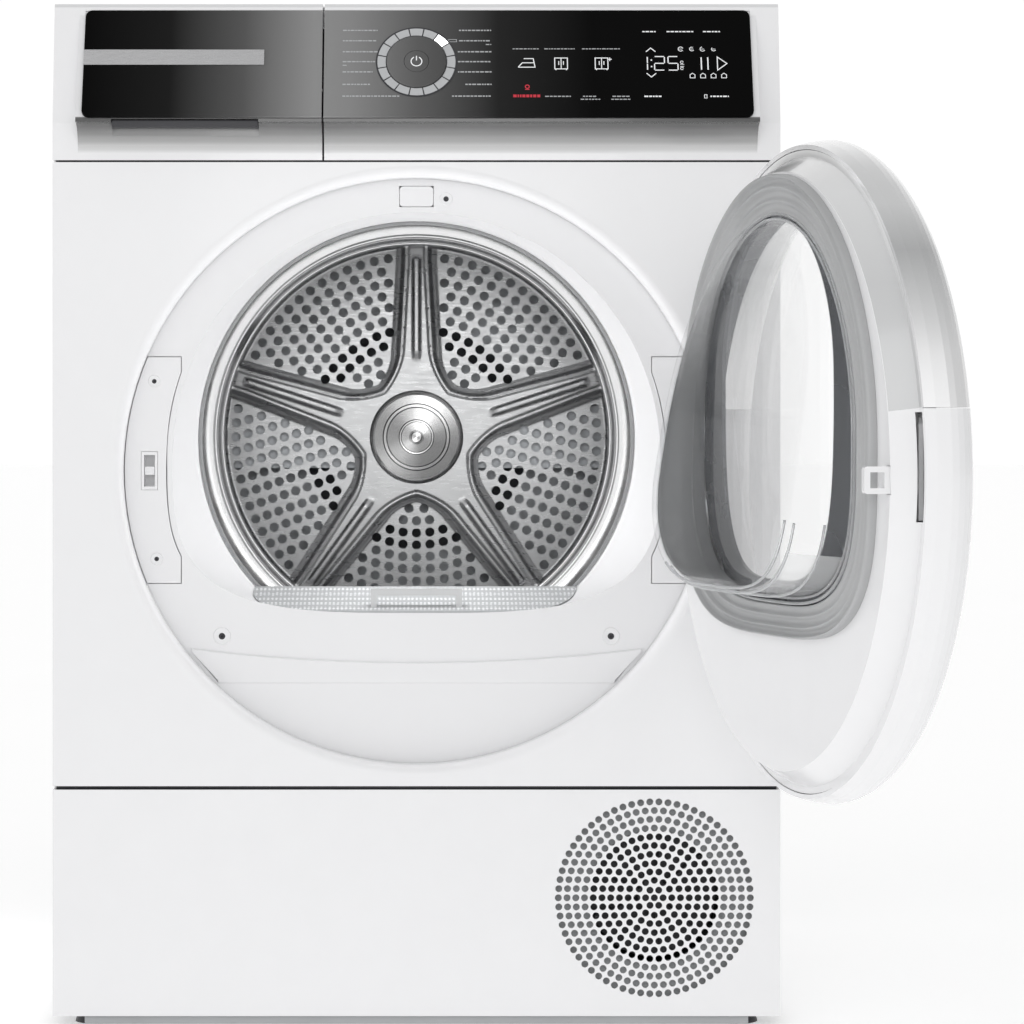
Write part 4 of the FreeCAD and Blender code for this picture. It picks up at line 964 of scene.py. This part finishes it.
def make_light_ring():
    """Sixteen light guides in a dark rim; one of them is lit."""
    dark, lit, guides = bmesh.new(), bmesh.new(), bmesh.new()
    pitch = 360.0 / LIGHT_GUIDES
    half = pitch / 2 - 1.0
    for k in range(LIGHT_GUIDES):
        mid = 90 + k * pitch
        ring_patch(lit if k == LIT_GUIDE else guides, 25.3, 32.0, mid - half, mid + half, 10, 0.55 * MM)
    ring_patch(dark, 24.9, 33.3, 0, 360, 96, 0.35 * MM)
    bmesh.ops.remove_doubles(dark, verts=dark.verts[:], dist=0.001 * MM)
    piece("light_ring_rim", dark, "cabinet", "dark_plastic")
    piece("light_ring_guides", guides, "cabinet", "light_segment", mat=MATERIALS["light_segment"])
    piece("light_ring_lit", lit, "cabinet", "light_segment", mat=MATERIALS["lit_segment"])


make_graphics()
make_power_mark()
make_light_ring()


# ------------------------------------------------------------------ door, drawn closed and then swung open
DOOR_Z = HINGE.z
DOOR_AXIS = Vector((0, 0, DOOR_Z))


def between(bm, inner, outer, section):
    """Sweep a closed section of (share, y) points: share 0 lies on the inner outline, 1 on the outer one."""
    rings = []
    for (xi, zi), (xo, zo) in zip(inner, outer):
        ring = [bm.verts.new((xi + (xo - xi) * s, FRONT_Y + y * MM, zi + (zo - zi) * s)) for s, y in section]
        rings.append(ring)
    bridge(bm, rings)
    bmesh.ops.recalc_face_normals(bm, faces=bm.faces[:])


def door_loop(half, top, bottom, count=160):
    """Outline on the door, from sizes in mm about the door's axis."""
    return d_outline(half * MM, DOOR_Z + top * MM, DOOR_Z + bottom * MM, count)


def make_gasket():
    """Moulded seal: an outer lip, two ribs and a thin inner lip with grooves between."""
    bm = bmesh.new()
    section = [(1.0, 14.1), (1.0, 18.4), (0.98, 20.4), (0.95, 21.0), (0.915, 20.4), (0.89, 18.0)]
    section += [(0.86, 16.6), (0.78, 16.2), (0.74, 17.0), (0.70, 18.8), (0.66, 19.2), (0.62, 18.4)]
    section += [(0.585, 16.4), (0.55, 15.6), (0.42, 15.4), (0.385, 16.4), (0.35, 17.2), (0.315, 17.2)]
    section += [(0.28, 16.0), (0.25, 15.2)]
    section += [(0.14, 15.0), (0.10, 15.7), (0.05, 16.2), (0.01, 15.9), (0.0, 15.0), (0.0, 14.1)]
    between(bm, door_loop(166, 193, -99), door_loop(201, 223, -123), section)
    obj = piece("door_seal", bm, "door", "gasket_rubber", ("door_gasket",), mat=MATERIALS["seal_rubber"])
    open_door(sharpen(obj, 60))


# Side view of the bowl from top to bottom: height above the door's axis and depth behind the flange, in mm.
BOWL_SIDE = [(241, 10), (181, 15), (120, 25), (60, 34), (11, 42), (-15, 46.5), (-39, 49)]
BOWL_SIDE += [(-70, 50), (-160, 50)]
BOWL_CORNER = 9.0


def bowl_depth(z):
    """Depth of the bowl behind its flange at a height of the frame, in mm."""
    heights, depths = zip(*BOWL_SIDE[::-1])
    return float(np.interp(z / MM - DOOR_Z / MM, heights, depths))


def bowl_rings(count=160, inset=0.0):
    """Rings of the bowl from flange to centre: drafted wall, rounded corner, then the slanting face."""
    rim = door_loop(161.5 - inset, 190.5 - inset, -94.5 + inset, count)
    middle = DOOR_Z + 40 * MM
    base = 14.6

    def wall_depth(z):
        return max(0.0, bowl_depth(z) - BOWL_CORNER - inset)

    def shrunk(x, z, share, depth):
        return x * share, FRONT_Y + (base + depth) * MM, middle + (z - middle) * share

    rings = []
    for wall in (0.0, 0.25, 0.5, 0.75, 1.0):
        rings.append([shrunk(x, z, 1 - 0.0009 * wall_depth(z) * wall, wall_depth(z) * wall) for x, z in rim])
    wall_end = rings[-1]
    for corner in range(1, 7):
        a = math.radians(90 * corner / 6)
        share = 1 - BOWL_CORNER * (1 - math.cos(a)) / 150
        sink = BOWL_CORNER * math.sin(a)
        for_rim = zip(rim, wall_end)
        rings.append([shrunk(wx, wz, share, wall_depth(z) + sink) for (_, z), (wx, _, wz) in for_rim])
    face_edge = rings[-1]
    for share in (0.9, 0.75, 0.55, 0.3, 0.08):
        heights = [middle + (z - middle) * share for _, _, z in face_edge]
        rings.append([shrunk(x, z, share, bowl_depth(h) - inset) for (x, _, z), h in zip(face_edge, heights)])
    return rings


def skin(bm, rings, flip=False):
    """Closed cup through the rings, with a cap on the last one."""
    rows = [[bm.verts.new(p) for p in ring] for ring in rings]
    for a, b in zip(rows, rows[1:]):
        for i in range(len(a)):
            j = (i + 1) % len(a)
            quad = (a[i], a[j], b[j], b[i])
            bm.faces.new(quad[::-1] if flip else quad)
    bm.faces.new(rows[-1] if flip else rows[-1][::-1])
    return rows


def make_bowl():
    """Clear bowl with a thin wall, and the moulded lips round its rim."""
    bm = bmesh.new()
    outside = skin(bm, bowl_rings())
    inside = skin(bm, bowl_rings(inset=2.6), flip=True)
    for i in range(len(outside[0])):
        j = (i + 1) % len(outside[0])
        bm.faces.new((outside[0][i], outside[0][j], inside[0][j], inside[0][i]))
    bmesh.ops.recalc_face_normals(bm, faces=bm.faces[:])
    obj = piece("door_bowl", bm, "door", "clear_glass", ("door_glass_bowl",))
    open_door(obj)
    bm = bmesh.new()
    for grow, y, r in ((2.6, 16.0, 1.3), (-1.2, 16.6, 1.0)):
        loop = even(door_loop(161.5 + grow, 190.5 + grow, -94.5 - grow), 200)
        ring = [(r * math.cos(a) * MM, FRONT_Y + (y + r * math.sin(a)) * MM)
                for a in np.linspace(0, 2 * math.pi, 12, endpoint=False)]
        sweep(bm, loop, ring)
    open_door(piece("door_bowl_lips", bm, "door", "clear_glass", mat=MATERIALS["lip_glass"]))


def bowl_patch(rings, first, last):
    """Part of the bowl's wall between two steps of its outline, as a thin sheet."""
    bm = bmesh.new()
    count = len(rings[0])
    sheet(bm, [[bm.verts.new(ring[k % count]) for k in range(first, last + 1)] for ring in rings])
    return bm


def make_bowl_shade():
    """Grey strip inside the hinge-side wall of the bowl: a painted reflection."""
    rings = bowl_rings(inset=3.4)
    reach = int(len(rings[0]) * 0.19)
    bm = bowl_patch(rings[:9], -reach, reach)
    open_door(piece("door_bowl_shade", bm, "door", "window_frame_grey", mat=MATERIALS["reflection_veil"]))


def make_bowl_gleam():
    """Pale strip along the bottom wall of the bowl, and three bright thin tubes along its skin: painted
    highlights.
    """
    rings = bowl_rings(inset=3.0)
    count = len(rings[0])
    bm = bowl_patch(rings[:7], int(count * 0.60), int(count * 0.83))
    open_door(piece("door_bowl_gleam", bm, "door", "clear_glass", mat=MATERIALS["gleam"]))
    bm = bmesh.new()
    # The three tubes are painted highlight lines.
    radius = 1.1 * MM
    turns = np.linspace(0, 2 * math.pi, 8, endpoint=False)
    outer = bowl_rings(inset=0.6)
    for level in (2, 5, 8):
        path = [Vector(p) for p in outer[level][int(count * 0.56):int(count * 0.86)]]
        rows = []
        for k, p in enumerate(path):
            along = (path[min(k + 1, len(path) - 1)] - path[max(k - 1, 0)]).normalized()
            side = Vector((0, 1, 0)).cross(along).normalized()
            circle = [p + side * (radius * math.cos(a)) + Vector((0, radius * math.sin(a), 0)) for a in turns]
            rows.append([bm.verts.new(q) for q in circle])
        bridge(bm, rows, full=False)
        bm.faces.new(rows[0][::-1])
        bm.faces.new(rows[-1])
    bmesh.ops.recalc_face_normals(bm, faces=bm.faces[:])
    open_door(piece("door_bowl_glint_ridges", bm, "door", "clear_glass", mat=MATERIALS["lip_glass"]))


def make_silver_band():
    """Pearl silver skin on the upper part of the door's inner edge, down to the seam of the outer ring."""
    seam = 11.5
    bm = bmesh.new()
    y = FRONT_Y / MM
    profile = [(241.0, y - 5.0), (241.0, y - 4.6), (236.2, y - 4.6), (235.9, y - 4.5), (224.6, y + 13.6)]
    profile += [(224.2, y + 13.5), (235.6, y - 5.0)]
    lathe(bm, [(r * MM, d * MM) for r, d in profile], DOOR_AXIS, 160, seam, 180 - seam)
    obj = piece("door_edge_band", bm, "door", "silver_plastic", mat=MATERIALS["pearl_edge"])
    open_door(sharpen(obj, 30))


make_gasket()
make_bowl()
make_bowl_shade()
make_bowl_gleam()
make_silver_band()


# ------------------------------------------------------------------ shield, lamp and throat details
def make_shield_step():
    """Shallow step across the lower shield: a sagging upper edge and a straight lower one."""
    bm = bmesh.new()
    count = 64
    rows = []
    for i in range(count + 1):
        t = -1 + 2 * i / count
        sag = RECESS_Z - 147 * MM - 11.5 * MM * (1 - t * t)
        low = RECESS_Z - 176 * MM
        wide, narrow = 186 * MM * t, 164 * MM * t
        section = [(wide, sag, 0.15), (wide, sag - 1.2 * MM, 2.2), (wide * 0.998, sag - 3.0 * MM, 2.6)]
        section += [(narrow, low + 2.5 * MM, 1.3), (narrow, low + 0.8 * MM, 1.1), (narrow, low, 0.15)]
        rows.append([bm.verts.new((x, SHIELD_Y - lift * MM, z)) for x, z, lift in section])
    sheet(bm, rows)
    bm.faces.new(rows[0][::-1])
    bm.faces.new(rows[-1])
    bmesh.ops.recalc_face_normals(bm, faces=bm.faces[:])
    sharpen(piece("shield_step", bm, "cabinet", "white_plastic"), 25)


def make_screw_dishes():
    """Raised ring at every screw of the shield and of its side plates, with a dark disc in its hole as painted
    shade.
    """
    rings, sockets = bmesh.new(), bmesh.new()
    places = [(side * 161, RECESS_Z - 137 * MM, 7.4, 2.7) for side in (-1, 1)]
    places += [(24.5, RECESS_Z + 225 * MM, 5.6, 2.2)]
    for side in (-1, 1):
        places += [(side * 217, RECESS_Z + 74 * MM, 5.2, 1.9), (side * 215, RECESS_Z - 73 * MM, 5.2, 1.9)]
    for x, z, outer, hole in places:
        centre = Vector((x * MM, 0, z))
        lift = 1.2 if abs(x) > 200 else 0.0
        y = SHIELD_Y - (lift + 0.1) * MM
        profile = [(outer * MM, y), ((outer - 0.7) * MM, y - 0.7 * MM), ((outer - 1.4) * MM, y - 0.35 * MM),
                   (hole * MM, y - 0.1 * MM), (hole * MM, y)]
        lathe(rings, profile, centre, 40)
        lathe(sockets, [(0.01 * MM, y - 0.25 * MM), (hole * MM, y - 0.2 * MM), (hole * MM, y)], centre, 24)
    sharpen(piece("shield_screw_rings", rings, "cabinet", "white_plastic"), 40)
    # Painted shade: dark discs in the screw holes.
    piece("shield_screw_sockets", sockets, "cabinet", "dark_plastic")


def make_throat_bead():
    """Dark seal line where the funnel meets the drum."""
    bm = bmesh.new()
    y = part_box("loading_funnel")[1].y - 2.4 * MM
    profile = [(183.8, 0), (181.6, -0.4), (181.0, 0.6), (181.6, 1.6), (183.8, 1.8)]
    lathe(bm, [(r * MM, y + d * MM) for r, d in profile], DRUM_AXIS, 180)
    sharpen(piece("throat_bead", bm, "cabinet", "gasket_rubber", mat=MATERIALS["shadow_line"]), 40)


# ------------------------------------------------------------------ grille, drawer grip and base strip
def make_fan_shroud():
    """Pale plate round the cooling fan, seen through the grille."""
    lo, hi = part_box("cooling_fan")
    centre = (lo + hi) / 2
    y = lo.y - 2.2 * MM
    bm = bmesh.new()
    profile = [(54, 0), (56, -1.2), (88, -1.2), (88, 0.6), (54, 0.6)]
    lathe(bm, [(r * MM, y + d * MM) for r, d in profile], Vector((centre.x, 0, centre.z)), 96)
    sharpen(piece("fan_shroud", bm, "cabinet", "grey_plastic"), 40)


def make_grip_shadow():
    """Black block along the top of the drawer's grip slot: painted shadow under the overlay."""
    left, right = -248.8 * MM, -129.2 * MM
    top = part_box("drawer_fascia_glass")[0].z - 1.6 * MM
    bm = bmesh.new()
    block(bm, (left, FRONT_Y - 22.5 * MM, top - 5.6 * MM), (right, FRONT_Y - 5.4 * MM, top), 0.6 * MM)
    piece("drawer_grip_shade_block", bm, "water_drawer", "dark_plastic")


def make_base_strip():
    """Grey rail under the kick panel."""
    lo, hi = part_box("kick_panel")
    bm = bmesh.new()
    ends = 26 * MM
    block(bm, (lo.x + ends, lo.y + 5 * MM, 1.0 * MM), (hi.x - ends, lo.y + 9 * MM, lo.z - 0.6 * MM), 0.5 * MM)
    piece("base_rail", bm, "cabinet", "grey_plastic")


def make_gap_backs():
    """Dark strips behind the two long seams of the front: painted shade in the gaps."""
    bm = bmesh.new()
    lo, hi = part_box("front_panel")
    for z in (lo.z, hi.z):
        block(bm, (lo.x + 3 * MM, lo.y + 3.0 * MM, z - 5 * MM), (hi.x - 3 * MM, lo.y + 3.6 * MM, z + 4 * MM))
    piece("front_gap_backs", bm, "cabinet", "dark_plastic")


make_gap_backs()
make_shield_step()
make_screw_dishes()
make_throat_bead()
make_fan_shroud()
make_grip_shadow()
make_base_strip()
